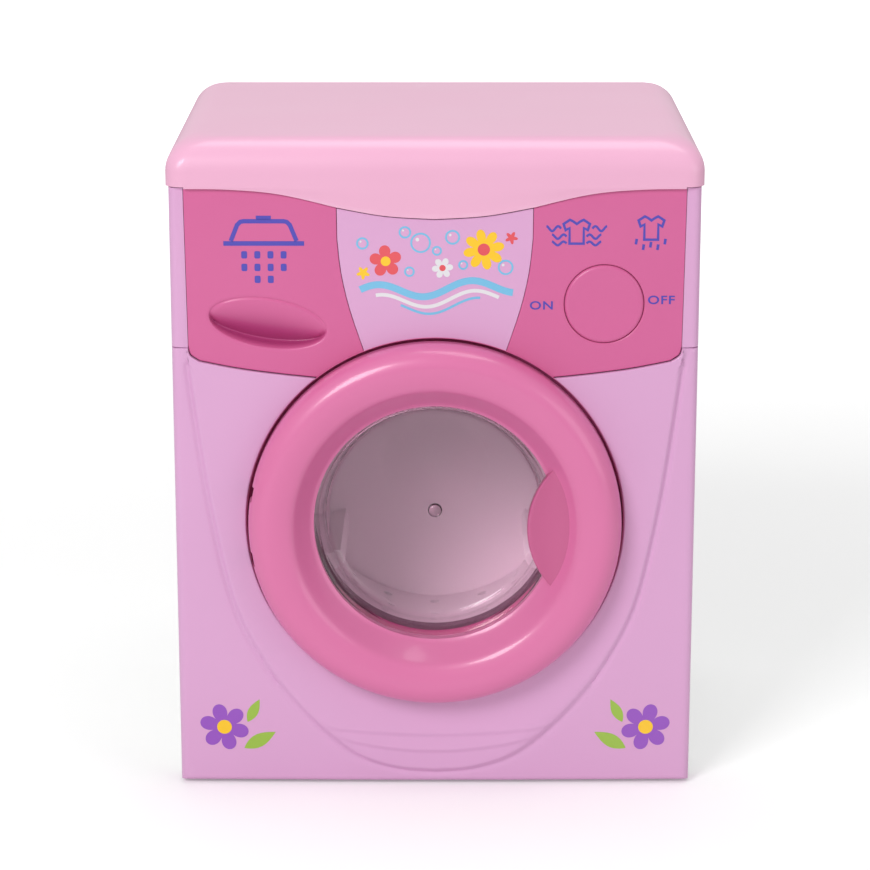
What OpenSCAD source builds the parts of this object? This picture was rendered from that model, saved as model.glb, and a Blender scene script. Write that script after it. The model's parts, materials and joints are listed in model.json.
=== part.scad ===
// Toy washing machine: front loader with a water drawer, a push button, a hinged round door,
// a battery-driven drum and a drain hose stowed in a groove of the back.
// Frame: millimetres, +Z up, the front faces -Y, origin on the floor under the middle.

/* [Body] */
// Half of the width across the lid
lid_x = 86; // [85.5:0.5:87]
// Half of the width of the body under the lid
side_x = 85; // [84:0.5:85]
// Height of the top of the lid
top_z = 218; // [216:0.5:220]
// Height of the seam between the lid and the body
seam_z = 203; // [202.8:0.1:203.2]
// Distance from the middle to the flat front face
front_out = 57; // [56.8:0.1:57]
// Distance from the middle to the back face
back_y = 69; // [69:0.5:71]
// Wall thickness of the big shells
wall = 2.2; // [2:0.1:2.3]

/* [Door] */
// Height of the middle of the door
door_z = 92; // [91.8:0.1:92.2]
// Outer radius of the door ring
door_r = 60; // [59.5:0.1:60.2]
// Distance from the middle to the crest of the door ring
crest_out = 69; // [68:0.5:70]
// Radius of the recess that the door closes into
recess_r = 61.5; // [61.3:0.1:61.7]
// Radius of the clear part of the window
glass_r = 39.5; // [39:0.1:39.8]
// Radius of the hinge pin
pin_r = 1.25; // [1.2:0.05:1.3]

/* [Drawer and button] */
// Radius of the push button
button_r = 12.75; // [12.5:0.05:12.8]
// Travel of the push button
button_travel = 3; // [2.5:0.1:3]
// Travel of the water drawer
drawer_travel = 24; // [20:1:24]

/* [Drum] */
// Outer radius of the still tub
tub_r = 54; // [53.5:0.5:54]
// Outer radius of the turning drum
drum_r = 50.5; // [50:0.5:51]
// Number of rows of holes round the drum
hole_columns = 18; // [12:3:18]

/* [Drain hose] */
// Outer radius of the hose
hose_r = 3.5; // [3.3:0.1:3.6]
// Height of the free end of the stowed hose
hose_top_z = 162; // [150:1:164]

/* [Hidden] */
$fn = 64;
eps = 0.01;
fit = 0.05;           // radial clearance of a shaft in its bore
gap = 0.4;            // visible gap between neighbouring panels
plate_y = -front_out; // front face
panel_t = 2.1;        // thickness of the two dark panels
backing_y = plate_y + 2.4;
corner_y = -46;       // where the front mouldings end on the sides
corner_r = 2.5;       // rounding of the upright front corners
lid_corner = 5.5;     // the same on the lid, in plan
lid_roll = 10.5;      // the lid's rounding over its front and sides
hinge_x = -54;
hinge_out = 61.5;
ear_z = 11;           // half distance between the middles of the hinge ears
ear_t = 4;
tub_y0 = -40;
tub_y1 = 22;
drum_y0 = -36.5;
drum_y1 = 17;
gear_m = 1;           // gear module
drum_teeth = 40;
idler_teeth = 30;
pinion_teeth = 10;
idler_angle = -30;
motor_angle = -60;
idler_d = gear_m * (drum_teeth + pinion_teeth) / 2;
motor_d = gear_m * (idler_teeth + pinion_teeth) / 2;
idler_p = [idler_d * cos(idler_angle), door_z + idler_d * sin(idler_angle)];
motor_p = idler_p + motor_d * [cos(motor_angle), sin(motor_angle)];
button_p = [54.3, 164.8];
hose_x = 5;
hose_y = 63;
drain_z = 42;
screw_p = [[-76, 12], [76, 12], [-76, 192], [76, 192]];
battery_c = [-46, 36];
battery_screw = [battery_c[0] - 28.6, battery_c[1]];
rib_x = side_x - 4.4;   // inner face of the ribs on the cabinet's sides
floor_z = 1.2;        // lower edge of the shells
base_z = 3.6;         // underside of the base plate
tray = [[-77, -front_out + panel_t, 150], [-33.5, -8, 192]];
spout_p = [-45, -15];
shell_pink = [0.95, 0.72, 0.84];
panel_pink = [0.85, 0.42, 0.62];
door_pink = [0.88, 0.48, 0.66];
white = [0.95, 0.95, 0.94];
steel = [0.72, 0.72, 0.75];

// ---- helpers ----

// Extrudes a shape drawn in X and Z from y0 to y1.
module slab(y0, y1) translate([0, y1, 0]) rotate([90, 0, 0]) linear_extrude(y1 - y0) children();

// Turns a profile of [radius, distance in front of the middle] round the door's axis.
module turned(fn = 96) translate([0, 0, door_z]) rotate([90, 0, 0]) rotate_extrude($fn = fn) children();

// A round bar along Y at the point p of X and Z.
module bar(p, r, y0, y1, fn = 48) slab(y0, y1) translate(p) circle(r, $fn = fn);

// A box between two corners.
module block(a, b) translate(a) cube(b - a);

// A ring between two radii along Y.
module ring(p, r0, r1, y0, y1, fn = 64) slab(y0, y1) translate(p) difference() {
    circle(r1, $fn = fn);
    circle(r0, $fn = fn);
}

// A box round the middle of the battery bay, given by its half sizes in X and Z.
module bay(x, z, y0, y1) translate([battery_c[0] - x, y0, battery_c[1] - z]) cube([2 * x, y1 - y0, 2 * z]);

function mirrored(pts) = [for (p = pts) [-p[0], p[1]]];
function backwards(pts) = [for (i = [len(pts) - 1:-1:0]) pts[i]];

// A smooth curve through the points p, with n steps from each point to the next.
function on_curve(a, b, c, d, t) = 0.5 * (2 * b + (c - a) * t + (2 * a - 5 * b + 4 * c - d) * t * t
                                          + (3 * b - a - 3 * c + d) * t * t * t);
function smooth(p, n) = concat([for (i = [0:len(p) - 2], k = [0:n - 1])
    on_curve(p[max(i - 1, 0)], p[i], p[i + 1], p[min(i + 2, len(p) - 1)], k / n)], [p[len(p) - 1]]);

// Lower edge of the lid's valance, left half: over the panel, and on to the middle.
valance_side = smooth([[-80.3, 202.4], [-66, 202.2], [-50, 200.7], [-31.3, 196.3]], 4);
valance_mid = smooth([[-31.3, 196.3], [-16, 193.6], [0, 192.6]], 4);
valance = concat(valance_side, [for (i = [1:len(valance_mid) - 1]) valance_mid[i]]);
// Lower edge of the panels, left half, from the side inwards: a round corner, then a long curve.
foot_corner = smooth([[-79.6, 150.4], [-78.9, 148], [-76, 146]], 3);
foot_curve = smooth([[-76, 146], [-64, 143.6], [-51, 141.8], [-38, 140.4], [-30, 139.6]], 3);
panel_foot = concat(foot_corner, [for (i = [1:len(foot_curve) - 1]) foot_curve[i]]);
// Edge between a panel and the wedge in the middle, from the bottom up.
wedge_edge = smooth([[-20, 139.6], [-23, 149.8], [-27.3, 163], [-30, 175], [-31.2, 186]], 3);

// The left panel's outline, drawn in by g on every side.
function panel_outline(g) = concat(
    [for (p = valance_side) p + [p[0] < -80 ? g : p[0] > -31.5 ? -g : 0, -g]],
    [for (p = backwards(wedge_edge)) p - [g, 0]],
    [for (p = backwards(panel_foot)) p + [p[0] < -76 ? g : 0, p[1] < 150 ? g : 0]]);

module left_panel_2d(g) difference() {
    polygon(panel_outline(g));
    translate([0, door_z]) circle(recess_r + g, $fn = 96);
}

module right_panel_2d(g) mirror([1, 0]) left_panel_2d(g);

// Outline of the whole fascia.
module fascia_2d() difference() {
    polygon(concat([[-side_x, 150.6], [-side_x, seam_z - gap], [-80.3, seam_z - gap]],
                   [for (i = [1:len(valance) - 1]) valance[i] - [0, gap]],
                   [for (i = [len(valance) - 2:-1:1]) [-valance[i][0], valance[i][1] - gap]],
                   [[80.3, seam_z - gap], [side_x, seam_z - gap], [side_x, 150.6]],
                   mirrored(panel_foot), backwards(panel_foot)));
    translate([0, door_z]) circle(recess_r + 0.3, $fn = 96);
}

// Upper edge of the lower front, left half.
shell_top = [for (p = panel_foot) p - [0, gap]];

// Outline of the lower front.
module shell_2d() difference() {
    polygon(concat([[-side_x, floor_z], [-side_x, 150.2]], shell_top, backwards(mirrored(shell_top)),
                   [[side_x, 150.2], [side_x, floor_z]]));
    translate([0, door_z]) circle(recess_r + 0.3, $fn = 96);
}

// Raised middle of the lower front, inside the two long creases.
apron = smooth([[-79.4, 144], [-76.7, 122.2], [-72.2, 92.7], [-65.4, 62.8], [-55.4, 42.3], [-45.4, 28.6],
                [-34, 17], [-24, 10]], 3);

// A gear of n teeth drawn in X and Z, with one tooth at the angle a.
module gear_2d(n, a) {
    pitch_r = gear_m * n / 2;
    root_r = pitch_r - 1.25 * gear_m;
    foot = 0.75 * gear_m;
    tip = 0.32 * gear_m;
    circle(root_r + 0.02, $fn = 48);
    for (i = [0:n - 1]) rotate(a + i * 360 / n)
        polygon([[root_r - 0.4, -foot], [pitch_r + 0.75 * gear_m, -tip], [pitch_r + 0.75 * gear_m, tip],
                 [root_r - 0.4, foot]]);
}

module gear(p, n, a, y0, y1) slab(y0, y1) translate(p) gear_2d(n, a);

// A self-tapping screw along Y whose head faces the direction s.
module screw(p, y, s, length, r = 1.4, head_r = 2.8) {
    difference() {
        bar(p, head_r, min(y, y - s * 1.8), max(y, y - s * 1.8));
        slab(y - s * 0.5 - 0.5, y - s * 0.5 + 0.5) translate(p) for (a = [0, 90]) rotate(a)
            square([head_r * 1.3, 0.7], center = true);
    }
    bar(p, r, min(y - s * 1.8, y - s * length), max(y - s * 1.8, y - s * length));
}

// ---- shells ----

// Upright discs at the lid's front and back corner on the side s, where its roll has turned by a.
module lid_post(s, a) {
    in = lid_roll * (1 - cos(a));
    r = lid_corner + 0.45 * in;
    z = top_z - lid_roll * (1 - sin(a));
    low = a == 0 ? seam_z : z - 0.1;
    translate([s * (lid_x - in - r), -front_out - 1.5 + in + r, low]) cylinder(z - low, r = r, $fn = 24);
    translate([s * (lid_x - in - 2), back_y - 2, low]) cylinder(z - low, r = 2, $fn = 16);
}

module top_cap() color(shell_pink) difference() {
    union() {
        intersection() {
            hull() for (s = [-1, 1], a = [0:15:90]) lid_post(s, a);
            block([-lid_x - 1, -front_out - 9, seam_z], [lid_x + 1, back_y + 1, top_z + 1]);
        }
        slab(plate_y - 0.6, plate_y + wall) polygon(concat(
            [[-79.9, seam_z + 3], [-79.9, 202.6]], [for (i = [1:len(valance) - 1]) valance[i]],
            [for (i = [len(valance) - 2:-1:1]) [-valance[i][0], valance[i][1]]],
            [[79.9, 202.6], [79.9, seam_z + 3]]));
    }
    block([-lid_x + 14, plate_y + 6, seam_z - 1], [lid_x - 14, back_y - 4, top_z - 4]);
    block([-lid_x + 3, plate_y + 13, seam_z - 1], [lid_x - 3, back_y - 4, top_z - 9]);
}

module fascia() color(shell_pink) difference() {
    union() {
        slab(backing_y, backing_y + 2) fascia_2d();
        slab(plate_y, backing_y) difference() {
            fascia_2d();
            left_panel_2d(0);
            right_panel_2d(0);
        }
        for (s = [-1, 1]) block([min(s * side_x, s * (side_x - wall)), backing_y, 150.6],
                                [max(s * side_x, s * (side_x - wall)), corner_y, seam_z - gap]);
    }
    block([tray[0][0] - 1, backing_y - 1, tray[0][2] - 1.6], [tray[1][0] + 1, backing_y + 3, tray[1][2] + 1]);
    bar(button_p, button_r + 2.6, backing_y - 1, backing_y + 3);
    corner_waste();
}

module front_shell() color(shell_pink) difference() {
    front_shell_square();
    corner_waste();
}

module front_shell_square() {
    slab(plate_y, plate_y + wall) shell_2d();
    slab(plate_y - 0.8, plate_y) difference() {
        polygon(concat(apron, backwards(mirrored(apron))));
        translate([0, door_z]) circle(recess_r + 0.3, $fn = 96);
        polygon(concat([[-90, 160]], shell_top, backwards(mirrored(shell_top)), [[90, 160]]));
    }
    for (s = [-1, 1]) block([min(s * side_x, s * (side_x - wall)), plate_y + wall, floor_z],
                            [max(s * side_x, s * (side_x - wall)), corner_y, 150.2]);
    block([-side_x + wall, plate_y + wall, floor_z], [side_x - wall, corner_y, base_z]);
}

// What the round upright corners take off the square front mouldings.
module corner_waste() for (k = [0, 1]) mirror([k, 0, 0]) translate([side_x - corner_r, plate_y + corner_r, 0])
    linear_extrude(top_z) difference() {
        translate([0, -corner_r - 1]) square(corner_r + 1);
        circle(corner_r);
    }

// A box and its mirror image, given by the box on the right.
module both(a, b) for (k = [0, 1]) mirror([k, 0, 0]) block(a, b);

module cabinet() color(white) difference() {
    union() {
        both([side_x - 2, corner_y + 0.3, floor_z], [side_x, back_y, seam_z]);
        both([rib_x, corner_y + 0.3, 8], [side_x - 2, corner_y + 12, 196]);
        both([rib_x, corner_y - 6, 8], [side_x - wall - 0.1, corner_y + 1, 196]);
        both([rib_x, corner_y + 0.3, floor_z], [side_x - 2, back_y - 2.4, base_z]);
        for (z = [12, 192]) both([71.5, 46, z - 4.5], [side_x - 1, back_y - 2.4, z + 4.5]);
        block([-side_x + wall + 0.1, -50, seam_z - 2], [side_x - wall - 0.1, corner_y + 1, seam_z]);
        block([-side_x + 1, corner_y + 0.3, seam_z - 2], [side_x - 1, back_y - 2.4, seam_z]);
    }
    for (p = screw_p) bar(p, 1.45, 50, 70);
    block([-60, -30, seam_z - 3], [60, 50, seam_z + 1]);
}

module base_plate() color(white) {
    block([-82.4, -54.2, base_z], [82.4, 66.4, base_z + 1.8]);
    for (x = [-70, 70], y = [-34, 54]) translate([x, y, 0]) cylinder(base_z, r = 8);
    for (y = [-24, 8]) slab(y, y + 3) difference() {
        translate([-34, base_z + 1.8]) square([68, 44]);
        translate([0, door_z]) circle(tub_r + eps, $fn = 96);
    }
}

module back_panel() color(white) difference() {
    union() {
        block([-82.6, back_y - 2.2, 2], [82.6, back_y, seam_z - 0.4]);
        block([hose_x - 7.6, 56, drain_z - 8], [hose_x + 7.6, back_y - 2, hose_top_z + 17]);
        bar([-24, 76], 11, back_y - 6, back_y);
    }
    block([hose_x - 6, 57.6, drain_z - 6.4], [hose_x + 6, back_y + 1, hose_top_z + 15.4]);
    bar([hose_x, drain_z], 3.6, 50, 60);
    bar([-24, 76], 6.2, back_y - 4.4, back_y + 1);
    for (p = screw_p) {
        bar(p, 1.6, 60, 80);
        bar(p, 3.2, back_y - 2.1, back_y + 1);
    }
    bay(31.2, 19, back_y - 1.4, back_y + 1);
    bay(26.4, 16.4, 60, back_y + 1);
    bar(battery_screw, 1, 60, 80);
    slab(back_y - 1, back_y + 1) polygon([[22, 96], [60, 100], [26, 140]]);
}

// ---- control panel and button ----

module control_panel() color(panel_pink) difference() {
    union() {
        slab(plate_y, backing_y) right_panel_2d(gap);
        ring(button_p, button_r + fit, button_r + 2, backing_y, plate_y + 9);
    }
    bar(button_p, button_r + fit, plate_y - 1, plate_y + 10, 96);
}

module power_button() color(panel_pink) difference() {
    union() {
        bar(button_p, button_r, plate_y - 0.6, plate_y + 5, 96);
        bar(button_p, button_r + 1.4, plate_y + 9.2, plate_y + 10.4);
        ring(button_p, button_r - 1.6, button_r, plate_y + 5, plate_y + 9.3, 96);
    }
    bar(button_p, button_r - 2, plate_y + 1.2, plate_y + 9.2);
    bar(button_p, button_r - 3, plate_y + 9, plate_y + 11);
}

module switch_plunger() color(white) {
    bar(button_p, 5, plate_y + 1.2, plate_y + 3);
    bar(button_p, 2.4, plate_y + 3, plate_y + 17);
}

// The spring is drawn at the length that it has with the button pressed in.
module button_spring() color(steel) {
    turns = 5;
    steps = 14;
    sides = 6;
    coil_r = 4.2;
    wire_r = 0.45;
    y0 = plate_y + 3.8 + button_travel;
    y1 = plate_y + 15.5;
    rings = turns * steps;
    pts = [for (i = [0:rings], k = [0:sides - 1])
        let (a = i * 360 / steps, b = k * 360 / sides, r = coil_r + wire_r * cos(b))
        [button_p[0] + r * cos(a), y0 + (y1 - y0) * i / rings + wire_r * sin(b), button_p[1] + r * sin(a)]];
    faces = concat([[for (k = [0:sides - 1]) k]],
        [for (i = [0:rings - 1], k = [0:sides - 1]) let (a = i * sides, n = (k + 1) % sides)
            [a + k, a + sides + k, a + sides + n, a + n]],
        [[for (k = [sides - 1:-1:0]) rings * sides + k]]);
    polyhedron(pts, faces);
}

module switch_body() color(white) difference() {
    union() {
        bar(button_p, 8, plate_y + 16, plate_y + 18);
        slab(plate_y + 18, plate_y + 31) translate(button_p) square(14, center = true);
        block([button_p[0] + 7, plate_y + 20, button_p[1] - 3], [rib_x, plate_y + 22, button_p[1] + 3]);
    }
    bar(button_p, 2.4 + fit, plate_y + 15, plate_y + 22);
}

// ---- water drawer ----

// Finger recess: a tilted ellipse, grown by g.
module finger_2d(g) translate([-53.8, 158.5]) rotate(-8.7) scale([19 + g, 8 + g]) circle(1, $fn = 48);

module drawer_front() color(panel_pink) difference() {
    union() {
        slab(plate_y, plate_y + panel_t) left_panel_2d(gap);
        slab(plate_y + panel_t - eps, plate_y + 6) intersection() {
            finger_2d(0.6);
            translate([-75, 150.2]) square([39.6, 20]);
        }
    }
    slab(plate_y - 1, plate_y + 4.6) intersection() {
        finger_2d(-0.6);
        translate([-73.6, 151.4]) square([37.2, 20]);
    }
}

module drawer_tray() color(panel_pink) difference() {
    union() {
        block(tray[0], tray[1]);
        block([-62, -12, tray[0][2] - 1.5], [-58, -9, tray[0][2]]);
    }
    block(tray[0] + [1.6, -1, -1], [tray[1][0] - 1.6, plate_y + 6.4, tray[1][2] - 1.6]);
    block([tray[0][0] + 1.6, plate_y + 8, tray[0][2] + 1.6], tray[1] + [-1.6, -1.6, 1]);
    translate([spout_p[0], spout_p[1], tray[0][2] - 1]) cylinder(4, r = 3);
}

module drawer_guide() color(white) {
    x0 = tray[0][0] - 0.4;
    x1 = tray[1][0] + 0.4;
    z0 = tray[0][2] - 0.4;
    z1 = tray[1][2] + 0.4;
    y0 = backing_y + 2;
    y1 = -5;
    difference() {
        block([x0 - 1.6, y0, z0 - 1.6], [x1 + 1.6, y1, z1 + 1.6]);
        block([x0, y0 - 1, z0], [x1, y1 - 2, z1]);
        block([-63, -12 - drawer_travel - 1, z0 - 2], [-57, -8.4, z0 + 1]);
        translate([spout_p[0], spout_p[1], z0 - 2]) cylinder(3, r = 3);
        block([x0 + 6, y0 + 12, z1 - 1], [x1 - 6, y1 - 8, z1 + 2]);
    }
    difference() {
        translate([spout_p[0], spout_p[1], 138]) cylinder(z0 - 1.6 - 138, r = 4.6);
        translate([spout_p[0], spout_p[1], 137]) cylinder(z0 - 136, r = 3);
    }
    for (z = [160, 184]) block([-side_x + 2, -30, z], [x0 - 1.6, -10, z + 2]);
}

// ---- door seat and hinge ----

module ear_slots(grow) for (s = [-1, 1]) block(
    [hinge_x - 1.6 - grow, -hinge_out - 6, door_z + s * ear_z - ear_t / 2 - grow],
    [hinge_x + 1.6 + grow, -40, door_z + s * ear_z + ear_t / 2 + grow]);

module door_seat() color(panel_pink) difference() {
    turned() polygon([[recess_r, front_out], [recess_r, 51], [57, 49.8], [46, 44], [43.4, 43.4], [43.4, 41.6],
                      [47, 42.2], [58, 48], [recess_r + 1.4, 49.4], [recess_r + 1.4, 52.4],
                      [recess_r + 0.3, 52.4], [recess_r + 0.3, front_out]]);
    ear_slots(0.5);
    block([55, -52, door_z - 7], [60.6, -40, door_z + 7]);
}

module hinge_bracket() color(panel_pink) difference() {
    union() {
        block([-66, -43.6, door_z - 18], [hinge_x + 1.5, -41.6, door_z + 18]);
        for (s = [-1, 1]) {
            translate([hinge_x, -hinge_out, door_z + s * ear_z - ear_t / 2]) cylinder(ear_t, r = 2.7);
            block([hinge_x - 1.5, -hinge_out, door_z + s * ear_z - ear_t / 2],
                  [hinge_x + 1.5, -42, door_z + s * ear_z + ear_t / 2]);
            block([-rib_x, -43.6, door_z + s * 14 - 3], [-64, -41.6, door_z + s * 14 + 3]);
        }
    }
    translate([hinge_x, -hinge_out, door_z - 20]) cylinder(40, r = pin_r + fit);
}

module hinge_pin() color(steel) translate([hinge_x, -hinge_out, door_z - ear_z - ear_t / 2 - 0.6])
    cylinder(2 * ear_z + ear_t + 1.2, r = pin_r);

// ---- door ----

// Outer skin of the door ring from the back edge over the crest to the window.
ring_skin = concat([[door_r, 54.5]],
    [for (a = [0:15:90]) [54 + (door_r - 54) * cos(a), 61.5 + (crest_out - 61.5) * sin(a)]],
    [for (a = [15:15:60]) [54 - 9 * sin(a), crest_out - 8 * (1 - cos(a))]],
    [[44.4, 62.4], [42.6, 60.6], [glass_r, 59.6]]);
// Inner skin, from the window back to the outer wall.
ring_core = concat([[glass_r, 57.8], [43.6, 57.8], [44.2, 59.2], [46.6, 62.4]],
    [for (a = [50:-25:0]) [54 - 7 * sin(a), crest_out - 2 - 6.2 * (1 - cos(a))]],
    [for (a = [70:-20:10]) [54 + (door_r - 56) * cos(a), 61.5 + (crest_out - 63.5) * sin(a)]],
    [[door_r - 2, 54.5]]);

module door_notches() for (s = [-1, 1]) block(
    [-62, -hinge_out - 3.2, door_z + s * ear_z - ear_t / 2 - 0.5],
    [hinge_x + 3.2, -50, door_z + s * ear_z + ear_t / 2 + 0.5]);

module door_frame() color(door_pink) difference() {
    union() {
        turned() polygon(concat(ring_skin, ring_core));
        translate([hinge_x, -hinge_out, door_z - ear_z + 2.4]) cylinder(2 * ear_z - 4.8, r = 2.8);
        block([hinge_x + 1, -hinge_out - 4.6, door_z - ear_z + 2.4],
              [hinge_x + 6.4, -hinge_out + 1.4, door_z + ear_z - 2.4]);
    }
    door_notches();
    translate([hinge_x, -hinge_out, door_z - 20]) cylinder(40, r = pin_r);
}

module door_handle() color(door_pink) difference() {
    slab(-62.6, -59.6) intersection() {
        translate([58.2, door_z - 1]) circle(28.2, $fn = 96);
        translate([0, door_z]) circle(43.9, $fn = 96);
    }
    turned() polygon([[glass_r, 57], [glass_r, 59.6], [42.6, 60.6], [44.4, 62.4], [46.4, 64], [46.4, 57]]);
    translate([47, -75, door_z - 1]) sphere(14.4, $fn = 48);
}

module door_liner() color(door_pink) difference() {
    ring([0, door_z], 40.2, door_r - 2.4, -56, -54.5, 96);
    door_notches();
    block([55, -57, door_z - 6.4], [60, -54, door_z + 6.4]);
    for (a = [45:90:315]) bar([0, door_z] + 51 * [cos(a), sin(a)], 1.5, -58, -50);
}

module door_window() color([0.85, 0.8, 0.85, 0.5]) {
    turned() polygon([[glass_r - 0.2, 57.8], [43.2, 57.8], [43.2, 56], [glass_r - 0.4, 56], [37, 46.4],
                      [35.4, 45], [20, 43.3], [0, 42.6], [0, 44], [20, 44.7], [34.6, 46.4], [35.7, 47.4],
                      [38, 56.6]]);
    translate([0, -44.2, door_z]) sphere(1.5, $fn = 24);
}

module door_latch() color(door_pink) {
    block([50, -57.6, door_z - 7], [57.4, -56, door_z + 7]);
    block([56, -56, door_z - 6], [57.4, -43.5, door_z + 6]);
    block([57.4, -45, door_z - 6], [58.2, -43.7, door_z + 6]);
}

module latch_catch() color(white) {
    difference() {
        block([54.6, -45.8, door_z - 9], [64, -42, door_z + 9]);
        block([55.3, -46, door_z - 6.6], [60.8, -41, door_z + 6.6]);
    }
    block([64, -45.8, door_z - 3], [rib_x, -43.8, door_z + 3]);
}

module liner_screws() color(steel) for (a = [45:90:315])
    screw([0, door_z] + 51 * [cos(a), sin(a)], -52.6, 1, 7);

// ---- tub and drum ----

module tub_seal() color([0.75, 0.55, 0.65]) turned() polygon(
    [[43.3, 41.8], [42, 41.8], [42, 39.6], [42.9, 38.5], [46.5, 38.5], [46.5, 37.7], [42.4, 37.7], [41, 39.2],
     [41, 43.4], [43.3, 43.4]]);

module tub() color(white) difference() {
    union() {
        turned() polygon([[43.2, -tub_y0], [tub_r, -tub_y0], [tub_r, -tub_y1], [4, -tub_y1],
                          [4, -tub_y1 + 1.8], [tub_r - 1.8, -tub_y1 + 1.8],
                          [tub_r - 1.8, -tub_y0 - 1.4], [43.2, -tub_y0 - 1.4]]);
        ring([0, door_z], 4, 8, tub_y1, tub_y1 + 5);
        translate([spout_p[0], spout_p[1], 118]) cylinder(19, r = 6.4);
        bar([hose_x, drain_z], 5, tub_y1 - 1, tub_y1 + 8);
    }
    translate([spout_p[0], spout_p[1], 110]) cylinder(28, r = 4.8);
    bar([hose_x, drain_z], 3.2, tub_y1 - 2, tub_y1 + 9);
    turned() translate([0, -tub_y1 + 1.8]) square([tub_r - 1.8, tub_y1 - tub_y0 - 3.2]);
}

module drum() color([0.8, 0.72, 0.78]) difference() {
    union() {
        turned() polygon([[45.4, -drum_y0], [drum_r, -drum_y0], [drum_r, -drum_y1], [2.5, -drum_y1],
                          [2.5, -drum_y1 + 1.6], [drum_r - 1.5, -drum_y1 + 1.6],
                          [drum_r - 1.5, -drum_y0 - 1.5], [45.4, -drum_y0 - 1.5]]);
        for (a = [30, 150, 270]) translate([0, 0, door_z]) rotate([0, a, 0])
            slab(drum_y0 + 1, drum_y1 - 1)
                polygon([[36, -1.6], [36, 1.6], [drum_r - 0.8, 6], [drum_r - 0.8, -6]]);
        ring([0, door_z], 2.5, 9, drum_y1 - 3, drum_y1 + 1.4);
    }
    for (i = [0:hole_columns - 1], y = [-28, -16, -4, 8]) translate([0, y, door_z])
        rotate([0, (i + 0.5) * 360 / hole_columns, 0]) translate([drum_r - 4, 0, 0]) rotate([0, 90, 0])
            cylinder(8, r = 1.7, $fn = 16);
}

module drum_shaft() color(steel) bar([0, door_z], 2.5, drum_y1 - 3, 33);

module shaft_bush() color([0.75, 0.6, 0.35]) ring([0, door_z], 2.5 + fit, 4, tub_y1 - 1.8, tub_y1 + 5);

module shaft_seal() color([0.2, 0.2, 0.2]) ring([0, door_z], 2.9, 6.4, drum_y1 + 1.7, tub_y1 - 2);

// ---- drive ----

module drum_gear() color(white) difference() {
    union() {
        gear([0, door_z], drum_teeth, idler_angle, 28, 31);
        bar([0, door_z], 5, 31, 33);
    }
    bar([0, door_z], 2.5, 27, 34);
}

module idler_gear() color(panel_pink) difference() {
    union() {
        gear(idler_p, pinion_teeth, idler_angle + 180 + 180 / pinion_teeth, 28, 31.6);
        gear(idler_p, idler_teeth, motor_angle, 31.6, 34.6);
    }
    bar(idler_p, 1.5 + fit, 27, 36);
}

module idler_axle() color(steel) bar(idler_p, 1.5, 24.4, 38.2);

module motor_pinion() color([0.8, 0.65, 0.35]) difference() {
    gear(motor_p, pinion_teeth, motor_angle + 180 + 180 / pinion_teeth, 31.6, 35.4);
    bar(motor_p, 1, 30, 37);
}

module motor_shaft() color(steel) bar(motor_p, 1, 31, 44);

module motor() color(steel) difference() {
    union() {
        slab(40.2, 62) intersection() {
            translate(motor_p) circle(10);
            translate(motor_p) square([20, 15.4], center = true);
        }
        bar(motor_p, 3, 38.6, 40.2);
    }
    bar(motor_p, 1 + fit, 38, 44.6);
}

gear_screws = [[-17.9, 109.9], [40.8, 84.2], [12, 56.4]];

module plate_2d(grow) {
    hull() {
        translate([0, door_z]) circle(23 + grow, $fn = 32);
        translate(idler_p) circle(18.5 + grow, $fn = 32);
        translate(motor_p) circle(11 + grow, $fn = 32);
    }
}

module lugs_2d(r) for (p = gear_screws) translate(p) circle(r, $fn = 32);

module gearbox_base() color(white) difference() {
    union() {
        slab(24.4, 27) {
            plate_2d(2);
            lugs_2d(4.4);
        }
        for (p = gear_screws) bar(p, 3, 27, 30);
        for (p = gear_screws) bar(p, 3, tub_y1, 24.4);
    }
    bar([0, door_z], 8.4, 20, 30);
    bar(idler_p, 1.5, 24, 30);
    for (p = gear_screws) bar(p, 1.2, 24.5, 31);
}

module gearbox_cover() color(white) difference() {
    slab(27, 38.4) {
        plate_2d(2);
        lugs_2d(4.4);
    }
    slab(26, 36.8) plate_2d(0);
    bar([0, door_z], 3.6, 30, 40);
    bar(idler_p, 1.5, 30, 38.2);
    bar(motor_p, 3.05, 30, 40);
    for (p = gear_screws) bar(p, 3.1, 26, 30.1);
    for (p = gear_screws) bar(p, 1.5, 26, 40);
}

module gearbox_screws() color(steel) for (p = gear_screws) screw(p, 40.2, 1, 14.6, r = 1.2);

// ---- batteries ----

module battery_box() color(white) difference() {
    bay(30.5, 18.5, 50, back_y - 2.2);
    bay(26.4, 16.4, 51.6, back_y);
    bar(battery_screw, 0.85, 55, 70);
}

module batteries() color([0.25, 0.3, 0.55]) for (s = [-1, 1]) {
    translate([battery_c[0] - 24.6, 59.2, battery_c[1] + s * 7.6]) rotate([0, 90, 0]) cylinder(48.6, r = 7.1);
    translate([battery_c[0] - s * 24.2 - 0.8, 59.2, battery_c[1] + s * 7.6]) rotate([0, 90, 0])
        cylinder(1.6, r = 2.6);
}

module battery_contacts() color(steel) for (s = [-1, 1])
    block([battery_c[0] + s * 26 - 0.35, 53, battery_c[1] - 14.6],
          [battery_c[0] + s * 26 + 0.35, 65.6, battery_c[1] + 14.6]);

module battery_door() color(white) difference() {
    bay(30.9, 18.7, back_y - 1.3, back_y);
    bar(battery_screw, 1.9, 60, 80);
    for (i = [-2:2]) translate([battery_c[0] + 18, back_y - 0.6, battery_c[1] + i * 3 - 0.6])
        cube([8, 2, 1.2]);
}

module battery_door_screw() color(steel) {
    bar(battery_screw, 1.8, back_y - 1.3, back_y - 0.3);
    bar(battery_screw, 0.85, back_y - 9, back_y - 1.3);
}

// ---- drain ----

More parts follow.
